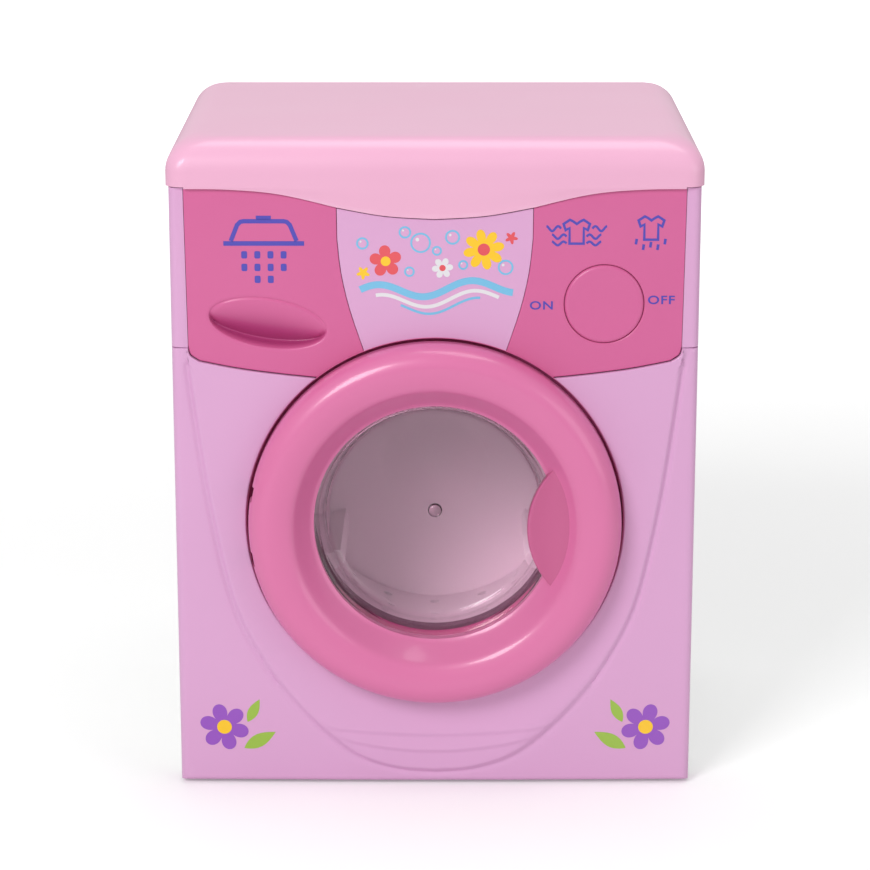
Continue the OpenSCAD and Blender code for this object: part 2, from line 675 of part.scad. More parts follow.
module drain_pipe() color(white) difference() {
    union() {
        bar([hose_x, drain_z], 3.1, tub_y1 + 1, hose_y);
        translate([hose_x, hose_y, drain_z]) sphere(3.1, $fn = 32);
        translate([hose_x, hose_y, drain_z]) cylinder(7, r = 3.1);
        translate([hose_x, hose_y, drain_z]) cylinder(14, r = 2);
    }
    bar([hose_x, drain_z], 1.4, tub_y1, hose_y);
    translate([hose_x, hose_y, drain_z]) cylinder(20, r = 1.2);
}

module drain_hose() color([0.62, 0.12, 0.3]) difference() {
    translate([hose_x, hose_y, drain_z + 7]) cylinder(hose_top_z - drain_z - 7, r = hose_r);
    translate([hose_x, hose_y, drain_z]) cylinder(hose_top_z, r = 2 + fit);
}

module hose_plug() color(door_pink) {
    translate([hose_x, hose_y, hose_top_z - 8]) cylinder(8, r = 2);
    translate([hose_x, hose_y, hose_top_z]) cylinder(6, r = 4.4);
}

module hose_socket() color(panel_pink) ring([-24, 76], 3.6, 6.1, back_y - 4.4, back_y - 0.4);

module back_emblem() color(panel_pink) slab(back_y - 1, back_y - 0.2)
    polygon([[22.6, 96.7], [58.6, 100.5], [26.4, 138.2]]);

module back_screws() color(steel) for (p = screw_p) screw(p, back_y - 0.3, 1, 14);

top_cap();
fascia();
front_shell();
cabinet();
base_plate();
back_panel();
control_panel();
power_button();
switch_plunger();
button_spring();
switch_body();
drawer_front();
drawer_tray();
drawer_guide();
door_seat();
hinge_bracket();
hinge_pin();
door_frame();
door_handle();
door_liner();
door_window();
door_latch();
latch_catch();
liner_screws();
tub_seal();
tub();
drum();
drum_shaft();
shaft_bush();
shaft_seal();
drum_gear();
idler_gear();
idler_axle();
motor_pinion();
motor_shaft();
motor();
gearbox_base();
gearbox_cover();
gearbox_screws();
battery_box();
batteries();
battery_contacts();
battery_door();
battery_door_screw();
drain_pipe();
drain_hose();
hose_plug();
hose_socket();
back_emblem();
back_screws();
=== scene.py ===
import json
import logging
import math
from dataclasses import dataclass, replace
from enum import Enum
from typing import Callable, ClassVar, Sequence

import bmesh
import bpy
from mathutils import Matrix, Vector

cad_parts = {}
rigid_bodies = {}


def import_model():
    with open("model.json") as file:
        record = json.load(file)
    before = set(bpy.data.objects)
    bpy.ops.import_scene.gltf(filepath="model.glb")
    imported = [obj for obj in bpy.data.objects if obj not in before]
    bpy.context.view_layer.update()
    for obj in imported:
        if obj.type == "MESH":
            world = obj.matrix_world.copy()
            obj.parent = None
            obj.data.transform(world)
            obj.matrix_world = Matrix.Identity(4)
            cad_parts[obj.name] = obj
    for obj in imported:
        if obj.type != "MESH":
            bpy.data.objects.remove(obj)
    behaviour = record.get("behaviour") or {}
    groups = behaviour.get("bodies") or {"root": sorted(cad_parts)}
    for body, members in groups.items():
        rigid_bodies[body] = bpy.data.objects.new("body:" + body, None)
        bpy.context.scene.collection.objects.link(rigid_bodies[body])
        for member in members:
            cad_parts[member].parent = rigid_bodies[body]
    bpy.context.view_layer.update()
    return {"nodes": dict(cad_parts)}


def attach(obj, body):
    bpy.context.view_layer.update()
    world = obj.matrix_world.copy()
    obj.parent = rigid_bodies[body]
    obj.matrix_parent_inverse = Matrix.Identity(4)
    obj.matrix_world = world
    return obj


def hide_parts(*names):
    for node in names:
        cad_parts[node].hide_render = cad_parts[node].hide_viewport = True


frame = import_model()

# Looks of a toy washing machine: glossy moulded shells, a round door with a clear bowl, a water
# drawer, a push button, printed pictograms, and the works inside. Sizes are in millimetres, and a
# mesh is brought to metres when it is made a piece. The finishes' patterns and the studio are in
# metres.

LOG = logging.getLogger("washing_machine")
PER_METRE = 1000
Point = tuple[float, float]
Point3 = tuple[float, float, float]
Ring = list[Point3]
Colour = tuple[int, int, int]
Socket = bpy.types.NodeSocket


# ---- finishes ----

class Slot(Enum):
    """Material slots of the record."""

    SHELL = "shell_pink"
    PANEL = "panel_pink"
    DOOR = "door_pink"
    WHITE = "white_plastic"
    CLEAR = "clear_plastic"
    DRUM = "drum_plastic"
    RUBBER = "soft_rubber"
    HOSE = "hose_pvc"
    STEEL = "steel"
    BRASS = "bush_brass"
    CELL = "cell_wrap"


def linear(rgb: Sequence[float]) -> tuple[float, float, float, float]:
    """Turns a screen colour into the renderer's linear one.

    Args:
        rgb: Red, green and blue from 0 to 255.

    Returns:
        The linear colour with alpha 1.
    """
    def one(c: float) -> float:
        """Brings one channel to linear light."""
        c /= 255
        return c / 12.92 if c <= 0.04045 else ((c + 0.055) / 1.055) ** 2.4
    return (one(rgb[0]), one(rgb[1]), one(rgb[2]), 1.0)


class Weaver:
    """Adds and links nodes in one node tree."""

    def __init__(self, tree: bpy.types.NodeTree) -> None:
        """Keeps the tree to add to."""
        self.tree = tree

    def fill(self, node: bpy.types.Node, values: dict) -> None:
        """Fills a node's inputs.

        Args:
            node: The node.
            values: A value, or a socket to link, for each input by name or number.
        """
        for key, value in values.items():
            if isinstance(value, Socket):
                self.tree.links.new(value, node.inputs[key])
            else:
                node.inputs[key].default_value = value

    def node(self, kind: str, values: dict | None = None, **settings: object) -> bpy.types.Node:
        """Adds a node.

        Args:
            kind: Blender's name of the node without its ShaderNode prefix.
            values: What its inputs are filled with.
            settings: Attributes of the node.

        Returns:
            The new node.
        """
        made = self.tree.nodes.new("ShaderNode" + kind)
        for key, value in settings.items():
            setattr(made, key, value)
        self.fill(made, values or {})
        return made

    def place(self) -> Socket:
        """Returns the piece's own coordinates."""
        return self.node("TexCoord").outputs["Object"]

    def noise(self, **values: object) -> Socket:
        """Adds a noise, with what its inputs are filled with."""
        return self.node("TexNoise", values).outputs["Fac"]

    def math(self, operation: str, a: object, b: object) -> Socket:
        """Does one sum on two sockets or numbers."""
        return self.node("Math", {0: a, 1: b}, operation=operation).outputs[0]

    def swing(self, noise: Socket, size: float) -> Socket:
        """Centres a noise on zero and gives it a size."""
        return self.math("MULTIPLY", self.math("SUBTRACT", noise, 0.5), size)

    def ramp(self, source: Socket, low: object, high: object) -> Socket:
        """Spreads the part of a value from low to high over 0 to 1, smoothly."""
        return self.node("MapRange", {"Value": source, "From Min": low, "From Max": high},
                         interpolation_type="SMOOTHSTEP").outputs["Result"]


def new_group(name: str, inputs: dict[str, tuple[str, object]],
              outputs: dict[str, str]) -> tuple[Weaver, bpy.types.NodeOutputs, bpy.types.Node]:
    """Starts a shader node group.

    Args:
        name: The group's name.
        inputs: Input names, each with its socket type and value.
        outputs: Output names, each with its socket type.

    Returns:
        The group's weaver, the sockets that bring its inputs, and the node that takes its outputs.
    """
    tree = bpy.data.node_groups.new(name, "ShaderNodeTree")
    for key, (kind, value) in inputs.items():
        socket = tree.interface.new_socket(key, in_out="INPUT", socket_type="NodeSocket" + kind)
        socket.default_value = value
    for key, kind in outputs.items():
        tree.interface.new_socket(key, in_out="OUTPUT", socket_type="NodeSocket" + kind)
    return Weaver(tree), tree.nodes.new("NodeGroupInput").outputs, tree.nodes.new("NodeGroupOutput")


def moulded_skin_group() -> bpy.types.NodeTree:
    """Makes the skin of moulded plastic: slow drifts of tone, flow marks and a fine orange peel.

    Returns:
        A group that puts out Colour, Roughness and Height.
    """
    w, given, out = new_group(
        "moulded_skin",
        {"Colour": ("Color", (1, 1, 1, 1)), "Drift": ("Float", 0.05), "Roughness": ("Float", 0.3),
         "Grain": ("Float", 900.0)},
        {"Colour": "Color", "Roughness": "Float", "Height": "Float"})
    place = w.place()
    cloud = w.noise(Vector=place, Scale=11.0, Detail=2.0)
    flow = w.noise(Vector=place, Scale=34.0, Detail=1.0)
    peel = w.noise(Vector=place, Scale=given["Grain"], Detail=1.0, Roughness=0.4)
    tone = w.math("ADD", w.swing(cloud, 1.6), w.swing(flow, 0.7))
    fade = w.math("MULTIPLY", tone, w.math("MULTIPLY", given["Drift"], 0.8))
    tint = w.node("HueSaturation", {
        "Color": given["Colour"], "Hue": 0.5, "Saturation": w.math("SUBTRACT", 1.0, fade),
        "Value": w.math("ADD", w.math("MULTIPLY", tone, given["Drift"]), 1.0)})
    w.fill(out, {"Colour": tint.outputs["Color"], "Height": peel,
                 "Roughness": w.math("ADD", given["Roughness"], w.swing(flow, 0.06))})
    return w.tree


def edge_wear_and_highlight_group() -> bpy.types.NodeTree:
    """Makes the mask of pale edges: partly wear where hands have rubbed, partly a painted highlight along
    convex edges.

    Returns:
        A group that puts out Mask, from 0 on a face to 1 on a pale edge.
    """
    w, given, out = new_group("edge_wear", {"Reach": ("Float", 0.06)}, {"Mask": "Float"})
    flat = 0.51
    patch = w.noise(Vector=w.place(), Scale=160.0, Detail=3.0)
    rise = w.ramp(w.node("NewGeometry").outputs["Pointiness"], flat, w.math("ADD", given["Reach"], flat))
    w.fill(out, {"Mask": w.math("MULTIPLY", rise, w.ramp(patch, 0.3, 0.62))})
    return w.tree


def handling_group() -> bpy.types.NodeTree:
    """Makes faint marks of handling: hairline scratches and soft smears.

    Returns:
        A group that puts out Scratch and Smear masks.
    """
    w, given, out = new_group("handling", {"Density": ("Float", 1.0)},
                              {"Scratch": "Float", "Smear": "Float"})
    place = w.place()
    hairs: list[Socket] = []
    for turn, scale in ((0.5, (3600.0, 90.0, 70.0)), (-0.9, (80.0, 90.0, 3300.0))):
        spin = w.node("Mapping", {"Vector": place, "Rotation": (0.0, turn, 0.0), "Scale": scale})
        hair = w.noise(Vector=spin.outputs["Vector"], Scale=1.0, Detail=0.0)
        hairs.append(w.ramp(hair, 0.79, 0.88))
    smear = w.noise(Vector=place, Scale=26.0, Detail=1.0)
    masks = {"Scratch": w.math("MAXIMUM", *hairs), "Smear": w.ramp(smear, 0.35, 0.8)}
    w.fill(out, {key: w.math("MULTIPLY", mask, given["Density"]) for key, mask in masks.items()})
    return w.tree


def painted_hollow_shade_group() -> bpy.types.NodeTree:
    """Makes the mask of painted shade behind the face: the deeper the plastic lies behind it, the darker it
    is painted.

    Returns:
        A group that puts out Mask, from 0 on the face to 1 at the bottom of the recess.
    """
    w, given, out = new_group("hollow_depth", {"Face": ("Float", 0.0)}, {"Mask": "Float"})
    split = w.node("SeparateXYZ", {"Vector": w.place()})
    behind = w.math("SUBTRACT", split.outputs["Y"], given["Face"])
    w.fill(out, {"Mask": w.ramp(w.math("MULTIPLY", behind, 100.0), 0.0, 0.45)})
    return w.tree


class Effects:
    """Holds the shared effect groups, each built once."""

    made: dict[str, bpy.types.NodeTree] = {}
    makers: dict[str, Callable[[], bpy.types.NodeTree]] = {
        "moulded_skin": moulded_skin_group, "edge_wear": edge_wear_and_highlight_group, "handling": handling_group,
        "hollow_depth": painted_hollow_shade_group}

    @classmethod
    def place(cls, weave: Weaver, name: str, values: dict) -> bpy.types.NodeOutputs:
        """Places a group in a material.

        Args:
            weave: The material's weaver.
            name: The group's name.
            values: What its inputs are filled with.

        Returns:
            The group's outputs.
        """
        if name not in cls.made:
            cls.made[name] = cls.makers[name]()
        node = weave.tree.nodes.new("ShaderNodeGroup")
        node.node_tree = cls.made[name]
        weave.fill(node, values)
        return node.outputs


def new_material(name: str) -> tuple[bpy.types.Material, Weaver, bpy.types.Node]:
    """Starts a material.

    Args:
        name: Its name.

    Returns:
        The material, its weaver and its Principled shader.
    """
    made = bpy.data.materials.new(name)
    made.use_nodes = True
    return made, Weaver(made.node_tree), made.node_tree.nodes["Principled BSDF"]


@dataclass(frozen=True)
class Finish:
    """A moulded or metal finish, with the effects that its surface shows."""

    name: str
    slot: Slot | None
    colour: Colour
    roughness: float = 0.3
    drift: float = 0.05
    grain: float = 900.0
    peel: float = 0.02
    wear_and_highlight: float = 0.25
    scratch: float = 0.5
    metallic: float = 0.0
    coat: float = 0.0
    hollow_shade: float = 0.0
    reach: ClassVar[float] = 0.07
    fading: ClassVar[float] = 0.45
    smear: ClassVar[float] = 0.05
    hairline: ClassVar[float] = 0.04
    coat_roughness: ClassVar[float] = 0.08
    relief: ClassVar[float] = 0.35
    shade_saturation_gain: ClassVar[float] = 0.3
    shade_start: ClassVar[float] = 0.1

    def material(self) -> bpy.types.Material:
        """Builds the material.

        Returns:
            The material.
        """
        made, w, shader = new_material(self.name)
        made.diffuse_color = linear(self.colour)
        skin = Effects.place(w, "moulded_skin", {
            "Colour": linear(self.colour), "Drift": self.drift, "Roughness": self.roughness,
            "Grain": self.grain})
        edge = Effects.place(w, "edge_wear", {"Reach": self.reach})
        hands = Effects.place(w, "handling", {"Density": self.scratch})
        # Pale edges: partly rubbed wear, partly painted highlight along convex edges.
        rubbed_and_lit = linear([255 - (255 - c) * self.fading for c in self.colour])
        mixed = w.node("Mix", {"A": skin["Colour"], "B": rubbed_and_lit,
                               "Factor": w.math("MULTIPLY", edge["Mask"], self.wear_and_highlight)}, data_type="RGBA")
        shown = mixed.outputs["Result"]
        # Painted shade: the plastic behind the face is painted darker and more saturated the deeper it
        # lies.
        if self.hollow_shade:
            face = (FACE.front + self.shade_start) / PER_METRE
            mask = Effects.place(w, "hollow_depth", {"Face": face})["Mask"]
            shade_amount = w.math("MULTIPLY", mask, self.hollow_shade)
            shaded_saturation = w.math("ADD", 1.0, w.math("MULTIPLY", shade_amount, self.shade_saturation_gain))
            shown = w.node("HueSaturation", {
                "Color": shown, "Hue": 0.5, "Saturation": shaded_saturation,
                "Value": w.math("SUBTRACT", 1.0, shade_amount)}).outputs["Color"]
        dull = w.math("ADD", w.math("MULTIPLY", hands["Smear"], self.smear),
                      w.math("MULTIPLY", hands["Scratch"], self.hairline))
        bump = w.node("Bump", {"Strength": self.relief, "Distance": self.peel / PER_METRE,
                               "Height": skin["Height"]})
        w.fill(shader, {
            "Base Color": shown, "Metallic": self.metallic, "Coat Weight": self.coat,
            "Coat Roughness": self.coat_roughness, "Roughness": w.math("ADD", skin["Roughness"], dull),
            "Normal": bump.outputs["Normal"]})
        return made


@dataclass(frozen=True)
class ClearFinish:
    """Clear moulded plastic that lets lamps through."""

    name: str = "clear_bowl_plastic"
    slot: Slot = Slot.CLEAR
    tint: Colour = (236, 222, 230)

    def material(self) -> bpy.types.Material:
        """Builds the clear material.

        Returns:
            The material.
        """
        made, w, shader = new_material(self.name)
        skin = Effects.place(w, "moulded_skin", {
            "Colour": linear(self.tint), "Drift": 0.02, "Roughness": 0.05, "Grain": 500.0})
        hands = Effects.place(w, "handling", {"Density": 0.6})
        w.fill(shader, {
            "Transmission Weight": 1.0, "IOR": 1.46, "Base Color": skin["Colour"],
            "Roughness": w.math("ADD", skin["Roughness"], w.math("MULTIPLY", hands["Scratch"], 0.1))})
        through = w.node("BsdfTransparent", {"Color": linear(self.tint)})
        both = w.node("MixShader", {0: w.node("LightPath").outputs["Is Shadow Ray"],
                                    1: shader.outputs[0], 2: through.outputs[0]})
        w.fill(made.node_tree.nodes["Material Output"], {"Surface": both.outputs[0]})
        return made


# The lid is the shell's pink plastic painted lighter and pinker: painted light from the lamps above.
LID = Finish("gloss_lid_plastic", Slot.SHELL, (234, 174, 204), roughness=0.32, drift=0.025, coat=0.12,
             wear_and_highlight=0.1)
SHELL = replace(LID, name="gloss_shell_plastic", colour=(218, 164, 206), coat=0.2, wear_and_highlight=0.06)
FASCIA = replace(SHELL, name="gloss_fascia_plastic", drift=0.02, wear_and_highlight=0.0)
PANEL = replace(LID, name="rose_panel_plastic", slot=Slot.PANEL, colour=(210, 98, 152), roughness=0.33,
                wear_and_highlight=0.0)
# The drawer's grip plastic, with painted shade deeper in its scoop.
SHADED_SCOOP = replace(PANEL, name="rose_scoop_plastic", hollow_shade=0.34)
DOOR = replace(LID, name="gloss_door_plastic", slot=Slot.DOOR, colour=(218, 114, 164), coat=0.35,
               wear_and_highlight=0.2)
# The grip is the door's plastic painted darker: painted shade of its finger dip.
GRIP = replace(DOOR, name="gloss_grip_plastic", colour=(196, 92, 140), roughness=0.33, coat=0.15,
               wear_and_highlight=0.1)
WHITE = Finish("white_moulded_plastic", Slot.WHITE, (238, 238, 236), roughness=0.36, drift=0.015,
               grain=1400, peel=0.03, wear_and_highlight=0.06)
# The drum is painted near white, far lighter than its mauve plastic: painted light for the dim drum behind
# the window.
DRUM = Finish("mauve_drum_plastic", Slot.DRUM, (252, 240, 246), roughness=0.42, drift=0.02, grain=2400,
              peel=0.004, wear_and_highlight=0.0)
RUBBER = Finish("soft_seal_rubber", Slot.RUBBER, (120, 84, 104), roughness=0.62, drift=0.08, grain=2200,
                peel=0.05, wear_and_highlight=0.1)
HOSE = Finish("dark_hose_vinyl", Slot.HOSE, (134, 22, 52), roughness=0.34, drift=0.10, grain=1600,
              peel=0.05)
STEEL = Finish("bright_steel", Slot.STEEL, (196, 197, 202), roughness=0.26, drift=0.06, grain=2600,
               metallic=1.0, wear_and_highlight=0.5)
BRASS = Finish("turned_brass", Slot.BRASS, (206, 164, 92), roughness=0.28, drift=0.07, grain=2400,
               metallic=1.0)
CELL = Finish("cell_sleeve", Slot.CELL, (46, 60, 118), roughness=0.3, drift=0.04, grain=1500)
CORAL_INK = Finish("coral_ink", None, (226, 84, 92), roughness=0.42, drift=0.08, grain=2600, wear_and_highlight=0.0)
BLUE_INK = replace(CORAL_INK, name="blue_ink", colour=(76, 70, 176), scratch=0.8)
YELLOW_INK = replace(CORAL_INK, name="yellow_ink", colour=(250, 200, 40), drift=0.06)
SKY_INK = replace(CORAL_INK, name="sky_ink", colour=(120, 190, 226), drift=0.06)
PALE_INK = replace(CORAL_INK, name="pale_grey_ink", colour=(226, 224, 228), drift=0.03)
VIOLET_INK = replace(CORAL_INK, name="violet_ink", colour=(150, 84, 190))
LEAF_INK = replace(CORAL_INK, name="leaf_ink", colour=(154, 190, 70))


# ---- curves in the front's X and Z ----

def smooth(points: Sequence[Point], steps: int) -> list[Point]:
    """Runs a smooth curve through points.

    Args:
        points: The points.
        steps: Steps from each point to the next.

    Returns:
        The curve's points.
    """
    made: list[Point] = []
    last = len(points) - 1
    for i in range(last):
        a, b, c, d = points[max(i - 1, 0)], points[i], points[i + 1], points[min(i + 2, last)]
        for t in (k / steps for k in range(steps)):
            made.append(tuple(
                0.5 * (2 * b[j] + (c[j] - a[j]) * t + (2 * a[j] - 5 * b[j] + 4 * c[j] - d[j]) * t * t
                       + (3 * b[j] - a[j] - 3 * c[j] + d[j]) * t ** 3) for j in (0, 1)))
    return made + [tuple(points[last])]


def mirrored(points: Sequence[Point]) -> list[Point]:
    """Returns the points on the other side of the middle, in turned order."""
    return [(-x, z) for x, z in reversed(points)]


def both_sides(half: list[Point]) -> list[Point]:
    """Carries a line that ends in the middle on over the other side."""
    return half + mirrored(half)[1:]


def ease(low: float, high: float, x: float) -> float:
    """Rises smoothly from 0 at low to 1 at high."""
    t = min(max((x - low) / (high - low), 0.0), 1.0)
    return t * t * (3 - 2 * t)


def quarter(steps: int) -> list[float]:
    """Returns the angles of a quarter turn in even steps, from 0 on."""
    return [math.pi / 2 * k / steps for k in range(steps + 1)]


def height_on(curve: Sequence[Point], x: float) -> float:
    """Reads the height of a curve that runs along X.

    Args:
        curve: Points in rising X.
        x: Where to read.

    Returns:
        The curve's Z at x.
    """
    for a, b in zip(curve, curve[1:]):
        if x <= b[0]:
            t = (x - a[0]) / max(b[0] - a[0], 1e-9)
            return a[1] + (b[1] - a[1]) * min(max(t, 0.0), 1.0)
    return curve[-1][1]


@dataclass(frozen=True)
class FaceLines:
    """The lines that divide the machine's face, as in the moulded parts."""

    side: float = 85.0
    front: float = -57.0
    gap: float = 0.16
    door: Point = (0.0, 92.0)
    recess: float = 61.8
    tuck: float = 0.3
    floor: float = 1.2
    valance_side: tuple[Point, ...] = ((-80.3, 202.4), (-66, 202.2), (-50, 200.7), (-31.3, 196.3))
    valance_mid: tuple[Point, ...] = ((-31.3, 196.3), (-16, 193.6), (0, 192.6))
    foot_corner: tuple[Point, ...] = ((-79.6, 150.4), (-78.9, 148), (-76, 146))
    foot: tuple[Point, ...] = ((-76, 146), (-64, 143.6), (-51, 141.8), (-38, 140.4), (-30, 139.6))
    wedge: tuple[Point, ...] = ((-20, 139.6), (-23, 149.8), (-27.3, 163), (-30, 175), (-31.2, 186))
    crease: tuple[Point, ...] = (
        (-79.4, 144), (-76.7, 122.2), (-72.2, 92.7), (-65.4, 62.8), (-55.4, 42.3), (-45.4, 28.6),
        (-34, 17), (-24, 10), (-12, 6.2), (0, 5.2))

    def door_edge(self) -> float:
        """Returns the radius at which the panels end behind the door's rim."""
        return self.recess + self.gap - self.tuck

    def valance(self) -> list[Point]:
        """Returns the lower edge of the lid's brow over the whole width."""
        return both_sides(smooth(self.valance_side, 6)[:-1] + smooth(self.valance_mid, 8))

    def panel_foot(self) -> list[Point]:
        """Returns the lower edge of the left panel, from the side inwards."""
        return smooth(self.foot_corner, 4)[:-1] + smooth(self.foot, 5)

    def left_panel(self) -> list[Point]:
        """Draws the left panel's outline, drawn in by the gap, before the door cuts into it.

        Returns:
            The outline's corners.
        """
        g = self.gap
        top = [(x + (g if x < -80 else -g if x > -31.5 else 0), z - g)
               for x, z in smooth(self.valance_side, 6)]
        edge = [(x - g, z) for x, z in reversed(smooth(self.wedge, 5))]
        low = [(x + (g if x < -76 else 0), z + (g if z < 150 else 0))
               for x, z in reversed(self.panel_foot())]
        return top + edge + low

    def crease_line(self) -> list[Point]:
        """Returns the long crease, from the left panel under the door to the right one."""
        return both_sides(smooth(self.crease, 5))


FACE = FaceLines()


class Relief:
    """The gentle relief of the lower front: the raised apron and the folds under the door."""

    apron: float = 1.05
    groove: float = 0.5
    folds: tuple[Point3, ...] = ((18.2, 544.0, 0.5), (12.4, 230.0, 0.6))

    def __init__(self) -> None:
        """Keeps the crease's segments."""
        line = FACE.crease_line()
        self.parts = list(zip(line, line[1:]))

    def from_crease(self, x: float, z: float) -> float:
        """Measures how far a point lies inside the crease.

        Args:
            x: Across.
            z: Up.

        Returns:
            The distance, below 0 outside.
        """
        best, inner = 1e9, 1.0
        for (ax, az), (bx, bz) in self.parts:
            dx, dz = bx - ax, bz - az
            t = min(max(((x - ax) * dx + (z - az) * dz) / (dx * dx + dz * dz), 0.0), 1.0)
            away = math.hypot(x - ax - dx * t, z - az - dz * t)
            if away < best:
                best, inner = away, (x - ax) * -dz + (z - az) * dx
        return best if inner > 0 else -best

    def at(self, x: float, z: float) -> float:
        """Gives the front surface's Y at a point of the lower front.

        Args:
            x: Across.
            z: Up.

        Returns:
            The surface's Y in millimetres.
        """
        d = self.from_crease(x, z)
        out = self.apron * ease(-0.8, 1.1, d) - self.groove * math.exp(-((d + 0.9) / 0.8) ** 2)
        out -= 0.02 * max(-d - 1.0, 0.0)
        for base, spread, depth in self.folds:
            f = (z - base - x * x / spread) / math.hypot(1, 2 * x / spread)
            ramp = ease(-0.9, 0.7, f) * math.exp(-max(f - 0.7, 0.0) / 3.4)
            out += depth * ramp * (1 - ease(34, 52, abs(x))) * ease(0.0, 4.0, d)
        return FACE.front - out


# ---- mesh tools ----

def mesh_from(name: str, bm: bmesh.types.BMesh) -> bpy.types.Mesh:
    """Turns a bmesh into a mesh.

    Args:
        name: The mesh's name.
        bm: The bmesh, freed here.

    Returns:
        The mesh.
    """
    mesh = bpy.data.meshes.new(name)
    bm.to_mesh(mesh)
    bm.free()
    return mesh


def put(name: str, data: bpy.types.ID) -> bpy.types.Object:
    """Puts an object into the scene.

    Args:
        name: The object's name.
        data: Its mesh, curve, lamp or camera.

    Returns:
        The object.
    """
    obj = bpy.data.objects.new(name, data)
    bpy.context.scene.collection.objects.link(obj)
    return obj


def baked(obj: bpy.types.Object) -> bpy.types.Mesh:
    """Returns the mesh that an object comes to with its modifiers."""
    bpy.context.view_layer.update()
    return bpy.data.meshes.new_from_object(obj.evaluated_get(bpy.context.evaluated_depsgraph_get()))


def spot(centre: Sequence[float], size: Sequence[float] = (1, 1, 1)) -> Matrix:
    """Returns the matrix that brings a shape to a size and then to a place."""
    return Matrix.Translation(centre) @ Matrix.Diagonal((*size, 1))


def loft(rings: Sequence[Ring], closed: bool = True) -> bmesh.types.BMesh:
    """Stretches a grid over rings of the same count, one row to a ring.

    Args:
        rings: The rings.
        closed: Whether each ring joins up with its own start.

    Returns:
        The mesh, in millimetres.
    """
    bm = bmesh.new()
    count = len(rings[0])
    across, up = (count if closed else count - 1), len(rings) - 1
    bmesh.ops.create_grid(bm, x_segments=across, y_segments=up, size=1.0)
    for v in bm.verts:
        i = round((v.co.x + 1) / 2 * across) % count
        v.co = rings[round((v.co.y + 1) / 2 * up)][i]
    bmesh.ops.remove_doubles(bm, verts=bm.verts, dist=0.001)
    return bm


def between(start: Ring, end: Ring, t: float) -> Ring:
    """Returns the ring that lies between two others, from the first at 0 to the second at 1."""
    return [tuple(a + (b - a) * t for a, b in zip(p, q)) for p, q in zip(start, end)]


def face_forward(bm: bmesh.types.BMesh) -> None:
    """Makes the faces of an open front agree and look forwards.

    Args:
        bm: The mesh.
    """
    bmesh.ops.recalc_face_normals(bm, faces=bm.faces)
    if sum(f.normal.y * f.calc_area() for f in bm.faces) > 0:
        bmesh.ops.reverse_faces(bm, faces=bm.faces)


def turned(profile: Sequence[Point], centre: Point, steps: int,
           closed: bool = True) -> bmesh.types.BMesh:
    """Turns a profile of radius and Y round an axis along Y.

    Args:
        profile: Points of radius and Y.
        centre: The axis in X and Z.
        steps: Steps of the turn.
        closed: Whether the profile joins up with its start.

    Returns:
        The mesh, in millimetres.
    """
    bm = bmesh.new()
    verts = [bm.verts.new((centre[0] + r, y, centre[1])) for r, y in profile]
    edges = [bm.edges.new(pair) for pair in zip(verts, verts[1:])]
    if closed:
        edges.append(bm.edges.new((verts[-1], verts[0])))
    bmesh.ops.spin(bm, geom=verts + edges, cent=(centre[0], 0, centre[1]), axis=(0, 1, 0),
                   angle=math.tau, steps=steps, use_merge=True)
    bmesh.ops.remove_doubles(bm, verts=bm.verts, dist=0.001)
    bmesh.ops.recalc_face_normals(bm, faces=bm.faces)
    return bm


def arc(centre: Point, radius: float | Point, start: float, end: float, steps: int) -> list[Point]:
    """Lays points on an arc of a circle or ellipse.

    Args:
        centre: The middle.
        radius: One radius, or one for each direction.
        start: First angle in degrees.
        end: Last angle in degrees.
        steps: Number of steps.

    Returns:
        The points, both ends with them.
    """
    rx, rz = radius if isinstance(radius, tuple) else (radius, radius)
    angles = [math.radians(start + (end - start) * i / steps) for i in range(steps + 1)]
    return [(centre[0] + rx * math.cos(a), centre[1] + rz * math.sin(a)) for a in angles]


def ray_hit(origin: Point, angle: float, outline: Sequence[Point]) -> float:
    """Finds where a ray from a point first meets a closed outline.

    Args:
        origin: Where the ray starts.
        angle: Its direction in radians.
        outline: The outline's corners.

    Returns:
        The distance to the hit, or a large number.
    """
    ux, uz = math.cos(angle), math.sin(angle)
    nearest = 1e6
    for i, (ax, az) in enumerate(outline):
        bx, bz = outline[(i + 1) % len(outline)]
        dx, dz = bx - ax, bz - az
        det = ux * dz - uz * dx
        if abs(det) < 1e-12:
            continue
        s = ((ax - origin[0]) * dz - (az - origin[1]) * dx) / det
        t = ((ax - origin[0]) * uz - (az - origin[1]) * ux) / det
        if s > 1e-6 and -1e-9 <= t <= 1 + 1e-9:
            nearest = min(nearest, s)
    return nearest


def away_from(p: Point, a: Point, b: Point) -> float:
    """Measures the distance from a point to a segment.

    Args:
        p: The point.
        a: One end of the segment.
        b: Its other end.

    Returns:
        The distance.
    """
    dx, dz = b[0] - a[0], b[1] - a[1]
    t = min(max(((p[0] - a[0]) * dx + (p[1] - a[1]) * dz) / max(dx * dx + dz * dz, 1e-12), 0.0), 1.0)
    return math.hypot(p[0] - a[0] - dx * t, p[1] - a[1] - dz * t)


def outward(points: Sequence[Point], closed: bool) -> list[Point]:
    """Gives mitred outward directions for an outline that runs anticlockwise.

    Args:
        points: The outline.
        closed: Whether it joins up.

    Returns:
        One direction for each point, longer at corners.
    """
    made: list[Point] = []
    n = len(points)
    for i, p in enumerate(points):
        before = points[i - 1] if closed or i else p
        after = points[(i + 1) % n] if closed or i < n - 1 else p
        normals: list[Point] = []
        for a, b in ((before, p), (p, after)):
            dx, dz = b[0] - a[0], b[1] - a[1]
            size = math.hypot(dx, dz)
            if size > 1e-6:
                normals.append((dz / size, -dx / size))
        sx, sz = sum(q[0] for q in normals), sum(q[1] for q in normals)
        size = max(math.hypot(sx, sz), 1e-6)
        stretch = min(len(normals) / size, 1.5)
        made.append((sx / size * stretch, sz / size * stretch))
    return made


